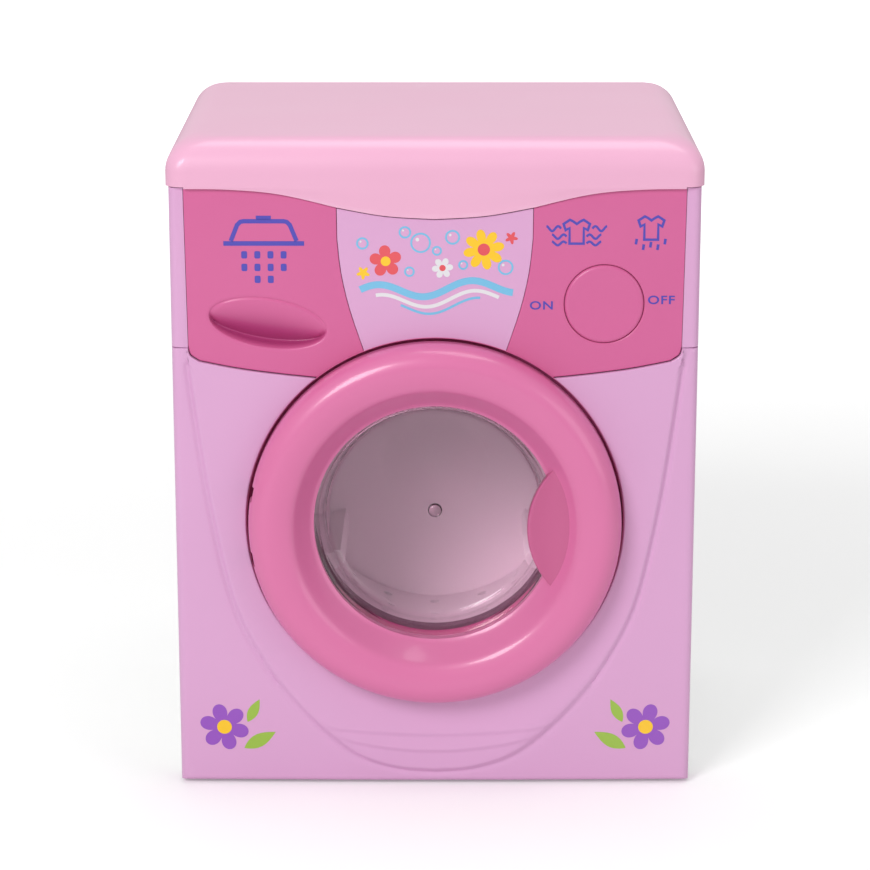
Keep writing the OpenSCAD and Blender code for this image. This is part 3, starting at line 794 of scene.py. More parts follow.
def cut(obj: bpy.types.Object, boxes: Sequence[tuple[Point3, Point3]]) -> None:
    """Cuts boxes out of a piece.

    Args:
        obj: The piece, in metres.
        boxes: Pairs of corners in millimetres.
    """
    bm = bmesh.new()
    for a, b in boxes:
        middle = [(p + q) / (2 * PER_METRE) for p, q in zip(a, b)]
        size = [abs(q - p) / PER_METRE for p, q in zip(a, b)]
        bmesh.ops.create_cube(bm, size=1, matrix=spot(middle, size))
    cutter = put("cutter", mesh_from("cutter", bm))
    tool = obj.modifiers.new("cut", "BOOLEAN")
    tool.operation, tool.object, tool.solver = "DIFFERENCE", cutter, "EXACT"
    done = baked(obj)
    obj.modifiers.clear()
    old, obj.data = obj.data, done
    bpy.data.meshes.remove(old)
    bpy.data.objects.remove(cutter)


def shade(mesh: bpy.types.Mesh, sharp: float) -> None:
    """Shades a mesh smooth, apart from edges sharper than an angle in degrees."""
    mesh.polygons.foreach_set("use_smooth", [True] * len(mesh.polygons))
    mesh.set_sharp_from_angle(angle=math.radians(sharp))


def soften(obj: bpy.types.Object, width: float, segments: int = 2, angle: float = 32.0) -> None:
    """Rounds the edges of a piece.

    Args:
        obj: The piece.
        width: Width of the rounding in millimetres.
        segments: Steps across it.
        angle: Edges sharper than this are rounded, in degrees.
    """
    bevel = obj.modifiers.new("rounded_edges", "BEVEL")
    bevel.width = width / PER_METRE
    bevel.segments = segments
    bevel.limit_method = "ANGLE"
    bevel.angle_limit = math.radians(angle)
    bevel.harden_normals = True


def thicken(obj: bpy.types.Object, thickness: float) -> None:
    """Gives a sheet its wall, inwards.

    Args:
        obj: The piece.
        thickness: The wall in millimetres.
    """
    wall = obj.modifiers.new("wall", "SOLIDIFY")
    wall.thickness = thickness / PER_METRE
    wall.offset = -1.0


def piece(name: str, bm: bmesh.types.BMesh, finish: Finish | ClearFinish, body: str,
          stands_for: Sequence[str] = (), metres: bool = False, sharp: float = 38.0) -> bpy.types.Object:
    """Makes a mesh a piece of the machine.

    Args:
        name: The piece's name.
        bm: Its mesh, freed here.
        finish: Its finish.
        body: The body that it rides on.
        stands_for: Nodes that it stands for.
        metres: Whether the mesh is in metres already.
        sharp: Edges sharper than this stay crisp, in degrees.

    Returns:
        The object.
    """
    if not metres:
        bmesh.ops.scale(bm, vec=(1 / PER_METRE,) * 3, verts=bm.verts)
    mesh = mesh_from(name, bm)
    shade(mesh, sharp)
    mesh.materials.append(bpy.data.materials.get(finish.name) or finish.material())
    obj = put(name, mesh)
    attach(obj, body)
    if stands_for:
        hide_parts(*stands_for)
    LOG.info("%s: %d faces on %s", name, len(mesh.polygons), body)
    return obj


def keep_flat(obj: bpy.types.Object, y: float) -> None:
    """Shades the faces that lie in one upright plane flat, so that round edges don't bend their light.

    Args:
        obj: The piece.
        y: The plane's Y in millimetres.
    """
    for face in obj.data.polygons:
        if all(abs(obj.data.vertices[i].co.y * PER_METRE - y) < 0.002 for i in face.vertices):
            face.use_smooth = False


def body_of(node: str) -> str:
    """Returns the body that a node belongs to."""
    return frame["nodes"][node].parent.name.removeprefix("body:")


def clean_copy(node: str) -> bmesh.types.BMesh:
    """Copies a node's mesh, merged, with its flat faces whole.

    Args:
        node: The node.

    Returns:
        The mesh, in metres.
    """
    bm = bmesh.new()
    bm.from_mesh(frame["nodes"][node].data)
    bmesh.ops.remove_doubles(bm, verts=bm.verts, dist=2e-6)
    bmesh.ops.dissolve_limit(bm, angle_limit=math.radians(0.6), verts=bm.verts, edges=bm.edges)
    return bm


def dressed(node: str, finish: Finish, width: float) -> bpy.types.Object:
    """Dresses a node: a copy with rounded edges and its finish.

    Args:
        node: The node.
        finish: The finish.
        width: Width of the rounded edges in millimetres.

    Returns:
        The piece that stands for the node.
    """
    angle = 34.0
    obj = piece(node + "_dressed", clean_copy(node), finish, body_of(node), [node], metres=True,
                sharp=angle)
    if width > 0:
        soften(obj, width, 2, angle)
    return obj


# ---- sub-assemblies ----

@dataclass
class Lid:
    """The lid: a soft slab that rolls over its front edge down to a curved brow."""

    half_width: float = 86.0
    front: float = -58.5
    back: float = 68.97
    seam: float = 203.0
    top: float = 218.0
    corner: float = 5.5
    back_corner: float = 2.0
    roll: float = 10.5
    wall: float = 2.2
    brow_front: float = -57.7
    brow_half: float = 79.9
    brow_rows: int = 5
    crown: Point3 = (16.0, 30.0, 50.0)
    crown_size: Point = (90.0, 70.0)
    crown_middle: float = 5.0
    front_steps: int = 96
    side_steps: int = 24
    back_steps: int = 30

    def outline(self, inset: float) -> list[Point]:
        """Draws the lid's plan, drawn in at the front and sides.

        Args:
            inset: How far it is drawn in.

        Returns:
            Points of X and Y, anticlockwise from the front's left end.
        """
        hx, y0, y1 = self.half_width - inset, self.front + inset, self.back - min(inset, 3.0) * 0.3
        r, b = self.corner + 0.45 * inset, self.back_corner
        edge = min(hx - r, self.brow_half)
        front = [(edge * (2 * i / self.front_steps - 1), y0) for i in range(self.front_steps + 1)]
        side = [(hx - r + r * math.sin(t), y0 + r - r * math.cos(t)) for t in quarter(9)[1:]]
        side += [(hx, y0 + r + (y1 - b - y0 - r) * (i + 1) / self.side_steps)
                 for i in range(self.side_steps)]
        side += [(hx - b + b * math.cos(t), y1 - b + b * math.sin(t)) for t in quarter(5)[1:]]
        back = [(hx - b - 2 * (hx - b) * (i + 1) / self.back_steps, y1) for i in range(self.back_steps)]
        return front + side + back + [(-x, y) for x, y in reversed(side[:-1])]

    def build(self) -> bpy.types.Object:
        """Builds the lid.

        Returns:
            The piece.
        """
        rings: list[Ring] = [[(x, y, self.seam + dz) for x, y in self.outline(0)] for dz in (0.0, 1.5)]
        for t in quarter(12):
            height = self.top - self.roll * (1 - math.sin(t))
            rings.append([(x, y, height) for x, y in self.outline(self.roll * (1 - math.cos(t)))])
        y0 = self.crown_middle
        for inset in self.crown:
            across, along = (1 - (inset - self.roll) / size for size in self.crown_size)
            rings.append([(x * across, y0 + (y - y0) * along, self.top)
                          for x, y in self.outline(self.roll)])
        bm = loft(rings)
        rim = [e for e in bm.edges if e.is_boundary and all(v.co.z > self.top - 0.01 for v in e.verts)]
        bmesh.ops.edgeloop_fill(bm, edges=rim)
        brow = FACE.valance()
        edges = [e for e in bm.edges if e.is_boundary and all(
            v.co.z < self.seam + 0.01 and v.co.y < self.front + 0.2
            and abs(v.co.x) <= self.brow_half + 0.01 for v in e.verts)]
        for k in range(1, self.brow_rows + 1):
            made = bmesh.ops.extrude_edge_only(bm, edges=edges)["geom"]
            edges = [g for g in made if isinstance(g, bmesh.types.BMEdge) and g.is_boundary
                     and abs(g.verts[0].co.x - g.verts[1].co.x) > 0.5]
            for v in {v for e in edges for v in e.verts}:
                drop = self.seam - height_on(brow, v.co.x)
                t = k / self.brow_rows
                v.co.z = self.seam - drop * t
                v.co.y = self.front + (self.brow_front - self.front) * ease(0, 1, t) * min(drop / 4.0, 1.0)
        bmesh.ops.recalc_face_normals(bm, faces=bm.faces)
        obj = piece("lid", bm, LID, "root", ["top_cap"])
        thicken(obj, self.wall)
        soften(obj, 0.5, 3, 40)
        return obj


@dataclass
class Fascia:
    """The upper front: the wedge between the panels and the strips beside them."""

    corner: float = 2.5

    def build(self) -> bpy.types.Object:
        """Builds the fascia from the moulded part, with round outer corners.

        Returns:
            The piece.
        """
        bm = clean_copy("fascia")
        side, front = (FACE.side - 0.02) / PER_METRE, (FACE.front + 0.05) / PER_METRE
        edges = [e for e in bm.edges if all(abs(v.co.x) > side and v.co.y < front for v in e.verts)]
        bmesh.ops.bevel(bm, geom=edges, offset=self.corner / PER_METRE, offset_type="OFFSET", segments=6,
                        profile=0.5, affect="EDGES", clamp_overlap=True, material=-1)
        obj = piece("fascia_dressed", bm, FASCIA, "root", ["fascia"], metres=True, sharp=34)
        soften(obj, 0.35, 2, 40)
        return obj


@dataclass
class Column:
    """A line over the lower front, from the door's recess to a point of the outer edge."""

    start: Point
    end: Point
    turn: Point
    wall: Point
    back: float
    bend: float


@dataclass
class FrontShell:
    """The lower front with its long creases and the folds under the door."""

    back: float = -46.0
    plate: float = 2.2
    wall: float = 1.9
    seam: float = 150.2
    side_round: float = 2.5
    floor_round: float = 1.6
    top_round: float = 0.4
    hole_round: float = 0.35
    tight: float = 1.6
    rows: int = 66
    spacing: float = 1.5
    clear: float = 0.06
    guide: Point = (-81.0, 141.0)
    bend_across: Point = (64.0, 75.0)
    bend_up: Point = (128.0, 145.0)
    anchors: tuple[tuple[Point, float], ...] = (
        ((-76.0, 146.0), 52.0), ((-79.6, 150.2), 68.0), ((-85.0, 150.2), 71.0), ((-85.0, 92.0), 93.0),
        ((-85.0, 1.2), 136.0), ((0.0, 1.2), 180.0))

    def outline(self) -> list[Point]:
        """Draws the outer edge, from the recess at the top left round by the floor to the top right.

        Returns:
            The edge's points, close together, with its corners among them.
        """
        foot = [(x, z - FACE.gap) for x, z in reversed(FACE.panel_foot())]
        open_foot = [p for p in foot if math.dist(p, FACE.door) > FACE.recess + 0.5]
        a, b = foot[foot.index(open_foot[0]) - 1], open_foot[0]
        for _ in range(30):
            m = ((a[0] + b[0]) / 2, (a[1] + b[1]) / 2)
            a, b = (m, b) if math.dist(m, FACE.door) < FACE.recess + self.clear else (a, m)
        left = [b] + open_foot + [(-FACE.side, self.seam), (-FACE.side, FACE.floor), (0.0, FACE.floor)]
        dense: list[Point] = [left[0]]
        for p, q in zip(left, left[1:]):
            steps = max(1, math.ceil(math.dist(p, q) / self.spacing))
            dense += [(p[0] + (q[0] - p[0]) * i / steps, p[1] + (q[1] - p[1]) * i / steps)
                      for i in range(1, steps + 1)]
        return both_sides(dense)

    def turns(self, edge: list[Point]) -> list[float]:
        """Spreads the columns' directions over the edge, from one anchor to the next.

        Args:
            edge: The outer edge's points.

        Returns:
            For each point, the direction in radians of its column's start from the door's middle.
        """
        cx, cz = FACE.door
        run = [0.0]
        for p, q in zip(edge, edge[1:]):
            run.append(run[-1] + math.dist(p, q))
        half = len(edge) // 2
        known = [(0.0, (math.atan2(edge[0][1] - cz, edge[0][0] - cx) - math.pi / 2) % math.tau)]
        for place, turn_to in self.anchors:
            near = min(range(half + 1), key=lambda i: math.dist(edge[i], place))
            known.append((run[near], math.radians(turn_to)))
        known += [(run[-1] - at, math.tau - turn) for at, turn in reversed(known[:-1])]
        return [math.pi / 2 + height_on(known, at) for at in run]

    def columns(self) -> list[Column]:
        """Lays a line from the recess to each point of the outer edge.

        Returns:
            The lines, with the rounding and the wall at their ends as ways outwards, how far back
            the edge goes, and how far each bends to the guide.
        """
        edge = self.outline()
        cx, cz = FACE.door
        made: list[Column] = []
        for i, ((x, z), a) in enumerate(zip(edge, self.turns(edge))):
            side = abs(abs(x) - FACE.side) < 0.01
            floor = abs(z - FACE.floor) < 0.01
            top = z > 100 and (not side or z > self.seam - 0.01)
            room = min((math.hypot(x - cx, z - cz) - FACE.recess) / self.tight, 1.0)
            out = (math.copysign(side, x), -float(floor))
            wall = (out[0] * self.wall, out[1] * self.wall)
            if top:
                before, after = edge[max(i - 1, 0)], edge[min(i + 1, len(edge) - 1)]
                dx, dz = after[0] - before[0], after[1] - before[1]
                size = math.hypot(dx, dz)
                way = (out[0], 1.0) if side else (dz / size, -dx / size)
                turn = (way[0] * self.top_round * room, way[1] * self.top_round * room)
                if abs(x) > FACE.side - self.side_round:
                    turn = (math.copysign(abs(x) - FACE.side + self.side_round, x), turn[1])
                wall = (wall[0] + (0 if side else way[0] * room), way[1] * room)
            if not top or side:
                turn = (x - math.copysign(min(abs(x), FACE.side - self.side_round), x),
                        z - min(max(z, FACE.floor + self.floor_round), self.seam - self.top_round))
            made.append(Column(
                start=(cx + FACE.recess * math.cos(a), cz + FACE.recess * math.sin(a)), end=(x, z),
                turn=turn, wall=wall, back=self.back if side or floor else FACE.front + self.plate,
                bend=ease(*self.bend_across, abs(x)) * ease(*self.bend_up, z)))
        return made

    def build(self) -> bpy.types.Object:
        """Builds the lower front as one closed section, laid along the columns.

        Returns:
            The piece.
        """
        relief = Relief()
        cols = self.columns()
        cx, cz = FACE.door
        rooms = [min(math.dist(c.start, c.end) / self.tight, 1.0) for c in cols]
        rings: list[Ring] = []
        for depth, grow in ((self.plate, 0.0), (self.hole_round, 0.0), (self.hole_round * 0.3, 0.3),
                            (0.0, 1.0)):
            shares = [1 + grow * room * self.hole_round / FACE.recess for room in rooms]
            rings.append([(cx + (c.start[0] - cx) * share, depth, cz + (c.start[1] - cz) * share)
                          for c, share in zip(cols, shares)])
        inner = rings[-1]
        for k in range(1, self.rows + 1):
            t = k / self.rows
            pull = 2 * t * (1 - t)
            row: Ring = []
            for (sx, _, sz), c in zip(inner, cols):
                ex, ez = c.end[0] - c.turn[0], c.end[1] - c.turn[1]
                gx = (math.copysign(self.guide[0], ex) - (sx + ex) / 2) * c.bend * pull
                gz = (self.guide[1] - (sz + ez) / 2) * c.bend * pull
                row.append((sx + (ex - sx) * t + gx, 0.0, sz + (ez - sz) * t + gz))
            rings.append(row)
        plate_back = FACE.front + self.plate
        section = [[(x, plate_back, z) for x, _, z in rings[0]]]
        section += [[(x, relief.at(x, z) + depth, z) for x, depth, z in ring] for ring in rings[1:]]
        edge = section[-1]
        for t in quarter(5)[1:]:
            rise, out = 1 - math.cos(t), 1 - math.sin(t)
            section.append([(c.end[0] - c.turn[0] * out, y + max(abs(c.turn[0]), abs(c.turn[1])) * rise,
                             c.end[1] - c.turn[1] * out) for (_, y, _), c in zip(edge, cols)])
        section.append([(x, max(c.back, y), z) for (x, y, z), c in zip(section[-1], cols)])
        within = [(c.end[0] - c.wall[0], c.end[1] - c.wall[1]) for c in cols]
        section.append([(x, y, z) for (x, z), (_, y, _) in zip(within, section[-1])])
        section.append([(x, plate_back, z) for x, z in within])
        section.append(section[0])
        bm = loft(section, closed=False)
        for left in (True, False):
            end = [e for e in bm.edges if e.is_boundary and (e.verts[0].co.x < 0) == left]
            if end:
                bmesh.ops.holes_fill(bm, edges=end, sides=0)
        bmesh.ops.recalc_face_normals(bm, faces=bm.faces)
        return piece("front_shell_dressed", bm, SHELL, "root", ["front_shell"], sharp=50)


@dataclass
class PanelPlate:
    """A dark panel of the face, drawn round a feature in it."""

    node: str
    finish: Finish
    centre: Point
    outline: list[Point]
    wall: float
    sharp: float
    columns: int = 420
    edge: float = 0.32
    thickness: float = 2.1

    def rim(self) -> tuple[list[float], list[Point]]:
        """Finds where rays from the feature meet the panel's edge.

        Returns:
            The rays' angles and the points on the edge, anticlockwise.
        """
        door = arc(FACE.door, FACE.door_edge(), 0, 360, 720)[:-1]

        def reach(a: float) -> tuple[float, bool]:
            """Gives the distance to the edge and whether the door's circle sets it."""
            own, other = ray_hit(self.centre, a, self.outline), ray_hit(self.centre, a, door)
            return min(own, other), other < own
        angles = [math.tau * i / self.columns for i in range(self.columns)]
        for x, z in self.outline:
            a = math.atan2(z - self.centre[1], x - self.centre[0]) % math.tau
            if not reach(a)[1]:
                near = min(range(len(angles)), key=lambda i: abs(angles[i] - a))
                if abs(angles[near] - a) < math.tau / self.columns:
                    angles[near] = a
        corners: list[float] = []
        for i in range(self.columns):
            a, b = math.tau * i / self.columns, math.tau * (i + 1) / self.columns
            flag = reach(a)[1]
            if flag != reach(b)[1]:
                for _ in range(24):
                    m = (a + b) / 2
                    a, b = (m, b) if reach(m)[1] == flag else (a, m)
                corners.append(a)
        angles = sorted(set(angles + corners))
        points = [(self.centre[0] + reach(a)[0] * math.cos(a), self.centre[1] + reach(a)[0] * math.sin(a))
                  for a in angles]
        return angles, points

    def inset(self, p: Point) -> Point:
        """Draws a point of the edge in towards the feature until the rounding fits before every edge.

        Args:
            p: The point.

        Returns:
            The point where the rounding starts.
        """
        low, high = 0.0, 0.5
        for _ in range(14):
            t = (low + high) / 2
            q = (p[0] + (self.centre[0] - p[0]) * t, p[1] + (self.centre[1] - p[1]) * t)
            near = min([math.dist(q, FACE.door) - FACE.door_edge()]
                       + [away_from(q, a, b) for a, b in zip(self.outline, self.outline[1:])])
            low, high = (t, high) if near < self.edge else (low, t)
        return (p[0] + (self.centre[0] - p[0]) * high, p[1] + (self.centre[1] - p[1]) * high)

    def build(self, feature: list[Ring], points: list[Point], shares: Sequence[float]) -> bpy.types.Object:
        """Builds the panel: the feature's rings carried on over the flat face, round its edge and back.

        Args:
            feature: The feature's rings, the last of them on the face.
            points: The points on the panel's edge.
            shares: Where rings lie on the flat, from 0 at the feature to 1 at the rounding.

        Returns:
            The piece.
        """
        y = FACE.front
        starts = [self.inset(p) for p in points]
        edge: list[Ring] = [[(q[0] + (p[0] - q[0]) * math.sin(t), y + self.edge * (1 - math.cos(t)),
                              q[1] + (p[1] - q[1]) * math.sin(t)) for p, q in zip(points, starts)]
                            for t in quarter(4)]
        edge.append([(p[0], y + self.thickness, p[1]) for p in points])
        bm = loft(feature + [between(feature[-1], edge[0], t) for t in shares] + edge)
        face_forward(bm)
        obj = piece(self.node + "_dressed", bm, self.finish, body_of(self.node), [self.node],
                    sharp=self.sharp)
        keep_flat(obj, y)
        thicken(obj, self.wall)
        return obj


@dataclass
class WaterDrawer:
    """The water drawer: a panel with a scooped finger grip in front of its tray."""

    grip: Point = (-53.8, 158.5)
    half: Point = (19.0, 8.0)
    tilt: float = -8.7
    depth: float = 7.2
    lip: float = 1.2
    sink: float = 0.35
    steps: int = 30

    def scoop(self, u: float, w: float) -> float:
        """Gives the grip's depth at a point in its own tilted axes.

        Args:
            u: Along it.
            w: Across it.

        Returns:
            The depth.
        """
        a, b = self.half
        chord = math.sqrt(max(1 - (u / a) ** 2, 0.0))
        if chord < 1e-4:
            return 0.0
        s = min(max((w / (b * chord) + 1) / 2, 0.0), 1.0)
        return self.depth * chord ** 0.75 * ease(-0.02, 0.11, s) * (1 - s) ** 1.55

    def rim_at(self, angle: float, grow: float) -> tuple[float, float, float, float]:
        """Finds a point on the grip's rim.

        Args:
            angle: The direction from the grip's middle in radians.
            grow: How far outside the rim it lies.

        Returns:
            Its X and Z, and its place in the grip's own axes.
        """
        turn = math.radians(self.tilt)
        along, across = math.cos(angle - turn), math.sin(angle - turn)
        r = 1 / math.hypot(along / (self.half[0] + grow), across / (self.half[1] + grow))
        u, w = r * along, r * across
        return (self.grip[0] + u * math.cos(turn) - w * math.sin(turn),
                self.grip[1] + u * math.sin(turn) + w * math.cos(turn), u, w)

    def build(self) -> list[bpy.types.Object]:
        """Builds the drawer's front and dresses its tray and guide.

        Returns:
            The pieces.
        """
        plate = PanelPlate("drawer_front", SHADED_SCOOP, self.grip, FACE.left_panel(), wall=1.5, sharp=85)
        angles, edge = plate.rim()
        gx, gz = self.grip
        sink = self.lip * self.sink
        rings: list[Ring] = [[(gx, FACE.front + self.scoop(0, 0), gz)] * len(angles)]
        rim = [self.rim_at(angle, 0.0) for angle in angles]
        for k in range(1, self.steps + 1):
            t = 1 - (1 - k / self.steps) ** 1.5
            rings.append([(gx + (x - gx) * t,
                           FACE.front + self.scoop(u * t, w * t) + sink * ease(0.9, 1, t),
                           gz + (z - gz) * t) for x, z, u, w in rim])
        for t in quarter(3)[1:]:
            rim = [self.rim_at(angle, self.lip * (1 - math.cos(t))) for angle in angles]
            rings.append([(x, FACE.front + sink * (1 - math.sin(t)), z) for x, z, _, _ in rim])
        return [plate.build(rings, edge, (0.25, 0.5, 0.75)), dressed("drawer_tray", PANEL, 0.4),
                dressed("drawer_guide", WHITE, 0.3)]


@dataclass
class ControlPanel:
    """The panel on the right with its push button and the switch behind it."""

    button: Point = (54.3, 164.8)
    radius: float = 12.75
    clearance: float = 0.12
    proud: float = 0.6
    dish: float = 0.35
    edge_round: float = 1.1

    def profile(self) -> list[Point]:
        """Draws the button's section as radius and Y.

        Returns:
            The section, from the middle of its dished face round to the back.
        """
        r, y, e = self.radius, FACE.front - self.proud, self.edge_round
        face = [(r * t, y + self.dish * (1 - t * t)) for t in (0.0, 0.2, 0.4, 0.6, 0.8)]
        side = arc((r - e, y + e), e, -90, 0, 6)
        skirt = [(0.0, 9.2), (1.4, 9.2), (1.4, 10.4), (-2, 10.4), (-2, 1.4), (-r, 1.4)]
        return face + side + [(r + out, FACE.front + back) for out, back in skirt]

    def build(self) -> list[bpy.types.Object]:
        """Builds the panel, the button and the switch.

        Returns:
            The pieces.
        """
        plate = PanelPlate("control_panel", PANEL, self.button, mirrored(FACE.left_panel()), wall=1.6,
                           sharp=45)
        angles, edge = plate.rim()
        hole = self.radius + self.clearance
        rings: list[Ring] = []
        for r, y in ((hole, 9.0), (hole, 0.45), (hole + 0.12, 0.13), (hole + 0.45, 0.0)):
            rings.append([(self.button[0] + r * math.cos(a), FACE.front + y,
                           self.button[1] + r * math.sin(a)) for a in angles])
        panel = plate.build(rings, edge, (0.33, 0.66))
        button = piece("power_button_dressed", turned(self.profile(), self.button, 128, closed=False),
                       PANEL, "button", ["power_button"], sharp=40)
        return [panel, button, dressed("switch_plunger", WHITE, 0.2), dressed("switch_body", WHITE, 0.3),
                dressed("button_spring", STEEL, 0.0)]


@dataclass
class Door:
    """The round door: a rolled ring, a clear bowl, a half-moon grip and the liner behind."""

    outer: float = 60.8
    middle: float = 54.0
    crest: float = 69.0
    roll_at: float = 61.5
    hinge: Point = (-54.0, -61.5)
    ear: float = 11.0
    notch_across: Point = (-62.0, -50.8)
    notch_deep: Point = (-64.7, -50.0)
    notch_half: float = 2.5
    barrel: float = 2.8
    moon: Point = (58.2, -1.0)
    moon_inner: float = 28.2
    moon_outer: float = 45.7
    moon_steps: int = 72
    moon_rows: int = 22

    def ring_profile(self) -> list[Point]:
        """Draws the ring's section as radius and Y.

        Returns:
            The section, outside and then inside.
        """
        middle, low = self.middle, -self.roll_at
        out = [(self.outer - 2.4, -54.5), (self.outer - 0.5, -56.6), (self.outer, -57.8)]
        out += [(middle + (self.outer - middle) * math.cos(t),
                 low - (self.crest - self.roll_at) * math.sin(t)) for t in quarter(18)]
        out += [(middle - t, -self.crest + 0.032 * t * t) for t in (1.0, 2.0, 3.0, 4.0, 5.0, 6.0, 6.6)]
        out += [(46.6, -67.1), (46.0, -66.6), (45.5, -66.0), (44.9, -65.3), (44.0, -64.2), (43.0, -63.0),
                (42.0, -61.9), (41.2, -61.0), (40.6, -60.4), (40.0, -60.0), (39.6, -59.8), (39.5, -59.3)]
        core = [(39.5, -57.8), (43.6, -57.8), (44.2, -59.2), (46.6, -62.4), (48.4, -65.2), (51.0, -66.6),
                (middle, -67.0)]
        core += arc((middle, low), (4.0, 5.5), -70, -10, 3)
        return out + core + [(self.outer - 3.6, -54.5)]

    def notches(self) -> list[tuple[Point3, Point3]]:
        """Lays out the boxes that the hinge's ears need, in the ring and the liner.

        Returns:
            Pairs of corners.
        """
        (x0, x1), (y0, y1), half = self.notch_across, self.notch_deep, self.notch_half
        middles = [FACE.door[1] + side * self.ear for side in (-1, 1)]
        return [((x0, y0, z - half), (x1, y1, z + half)) for z in middles]

    def knuckle(self) -> bpy.types.Object:
        """Builds the barrel between the ears that the hinge pin turns in.

        Returns:
            The piece, part of the ring.
        """
        bm = bmesh.new()
        (x, y), z = self.hinge, FACE.door[1]
        length = 2 * self.ear - 4.8
        bmesh.ops.create_cone(bm, cap_ends=True, segments=48, radius1=self.barrel, radius2=self.barrel,
                              depth=length, matrix=spot((x, y, z)))
        bmesh.ops.create_cube(bm, size=1, matrix=spot((x + 3.7, y - 1.6, z), (5.4, 6.0, length)))
        obj = piece("door_knuckle", bm, DOOR, "door")
        soften(obj, 0.4)
        return obj

    def half_moon(self) -> tuple[list[Point], list[Point]]:
        """Draws the grip's two edges, from their upper meeting to the lower one.

        Returns:
            The edge near the window and the edge near the rim.
        """
        dx, dz = self.moon
        cx, cz = FACE.door[0] + dx, FACE.door[1] + dz
        inner_r, outer_r, count = self.moon_inner, self.moon_outer, self.moon_steps
        gap, base = math.hypot(dx, dz), math.atan2(dz, dx)
        spread = math.acos((gap * gap + outer_r ** 2 - inner_r ** 2) / (2 * gap * outer_r))
        steps = [i / count for i in range(count + 1)]
        far = [(outer_r * math.cos(base + spread * (1 - 2 * s)),
                FACE.door[1] + outer_r * math.sin(base + spread * (1 - 2 * s))) for s in steps]
        start, end = (math.atan2(p[1] - cz, p[0] - cx) % math.tau for p in (far[0], far[-1]))
        near = [(cx + inner_r * math.cos(start + (end - start) * s),
                 cz + inner_r * math.sin(start + (end - start) * s)) for s in steps]
        return near, far

    def grip(self) -> bpy.types.Object:
        """Builds the half-moon grip, scooped for a fingertip.

        Returns:
            The piece.
        """
        near, far = self.half_moon()
        foot, brow, edge_round, share = -59.9, -62.0, 0.9, 0.06
        rings: list[Ring] = [[(x, y, z) for x, z in near] for y in (foot, brow)]
        for t in quarter(5)[1:]:
            along = share * (1 - math.cos(t))
            rings.append([(x + (q[0] - x) * along, brow - edge_round * math.sin(t), z + (q[1] - z) * along)
                          for (x, z), q in zip(near, far)])
        for k in range(1, self.moon_rows + 1):
            s = k / self.moon_rows
            t = share + (1 - share) * s
            row: Ring = []
            for i, ((x, z), q) in enumerate(zip(near, far)):
                across = math.sin(math.pi * i / self.moon_steps)
                scoop = 1.5 * math.sin(math.pi * s) * across - 1.9 * s ** 1.3
                row.append((x + (q[0] - x) * t, brow - edge_round + scoop, z + (q[1] - z) * t))
            rings.append(row)
        rings.append([(x, -self.roll_at, z) for x, z in far])
        bm = loft(rings, closed=False)
        face_forward(bm)
        obj = piece("door_grip", bm, GRIP, "door", ["door_handle"], sharp=50)
        thicken(obj, 0.9)
        return obj

    def bowl(self) -> bpy.types.Object:
        """Builds the clear bowl.

        Returns:
            The piece.
        """
        shares = (0.1, 0.25, 0.4, 0.55, 0.7, 0.85)
        front = [(39.3, -57.8), (43.2, -57.8), (43.2, -56.0), (39.4, -56.0), (38.9, -55.6), (38.5, -54.6),
                 (37.15, -47.4), (36.9, -46.6), (36.4, -45.9), (35.7, -45.3), (34.8, -44.9)]
        front += [(34.8 * t, -42.6 - 2.3 * t ** 2.4) for t in (*reversed(shares), 0.0)]
        back = [(33.9 * t, -44.0 - 2.2 * t ** 2.4) for t in (0.0, *shares, 1.0)]
        back += [(34.8, -46.6), (35.4, -47.4), (35.7, -48.2), (37.6, -55.0), (37.9, -56.2), (38.4, -57.2)]
        return piece("door_bowl", turned(front + back, FACE.door, 160), ClearFinish(), "door",
                     ["door_window"], sharp=50)

    def gate_mark(self) -> bpy.types.Object:
        """Builds the round mark that the mould's gate leaves in the middle of the bowl.

        Returns:
            The piece.
        """
        bm = bmesh.new()
        bmesh.ops.create_uvsphere(bm, u_segments=32, v_segments=20, radius=2.4,
                                  matrix=spot((FACE.door[0], -44.0, FACE.door[1]), (1, 0.6, 1)))
        return piece("bowl_gate_mark", bm, ClearFinish(), "door")

    def build(self) -> list[bpy.types.Object]:
        """Builds the door.

        Returns:
            The pieces.
        """
        sharp = 40.0
        ring = piece("door_ring", turned(self.ring_profile(), FACE.door, 224), DOOR, "door",
                     ["door_frame"], sharp=sharp)
        cut(ring, self.notches())
        shade(ring.data, sharp)
        return [ring, self.knuckle(), self.grip(), self.bowl(), self.gate_mark(),
                dressed("door_liner", DOOR, 0.3), dressed("door_latch", DOOR, 0.3),
                dressed("hinge_pin", STEEL, 0.2), dressed("liner_screws", STEEL, 0.15)]


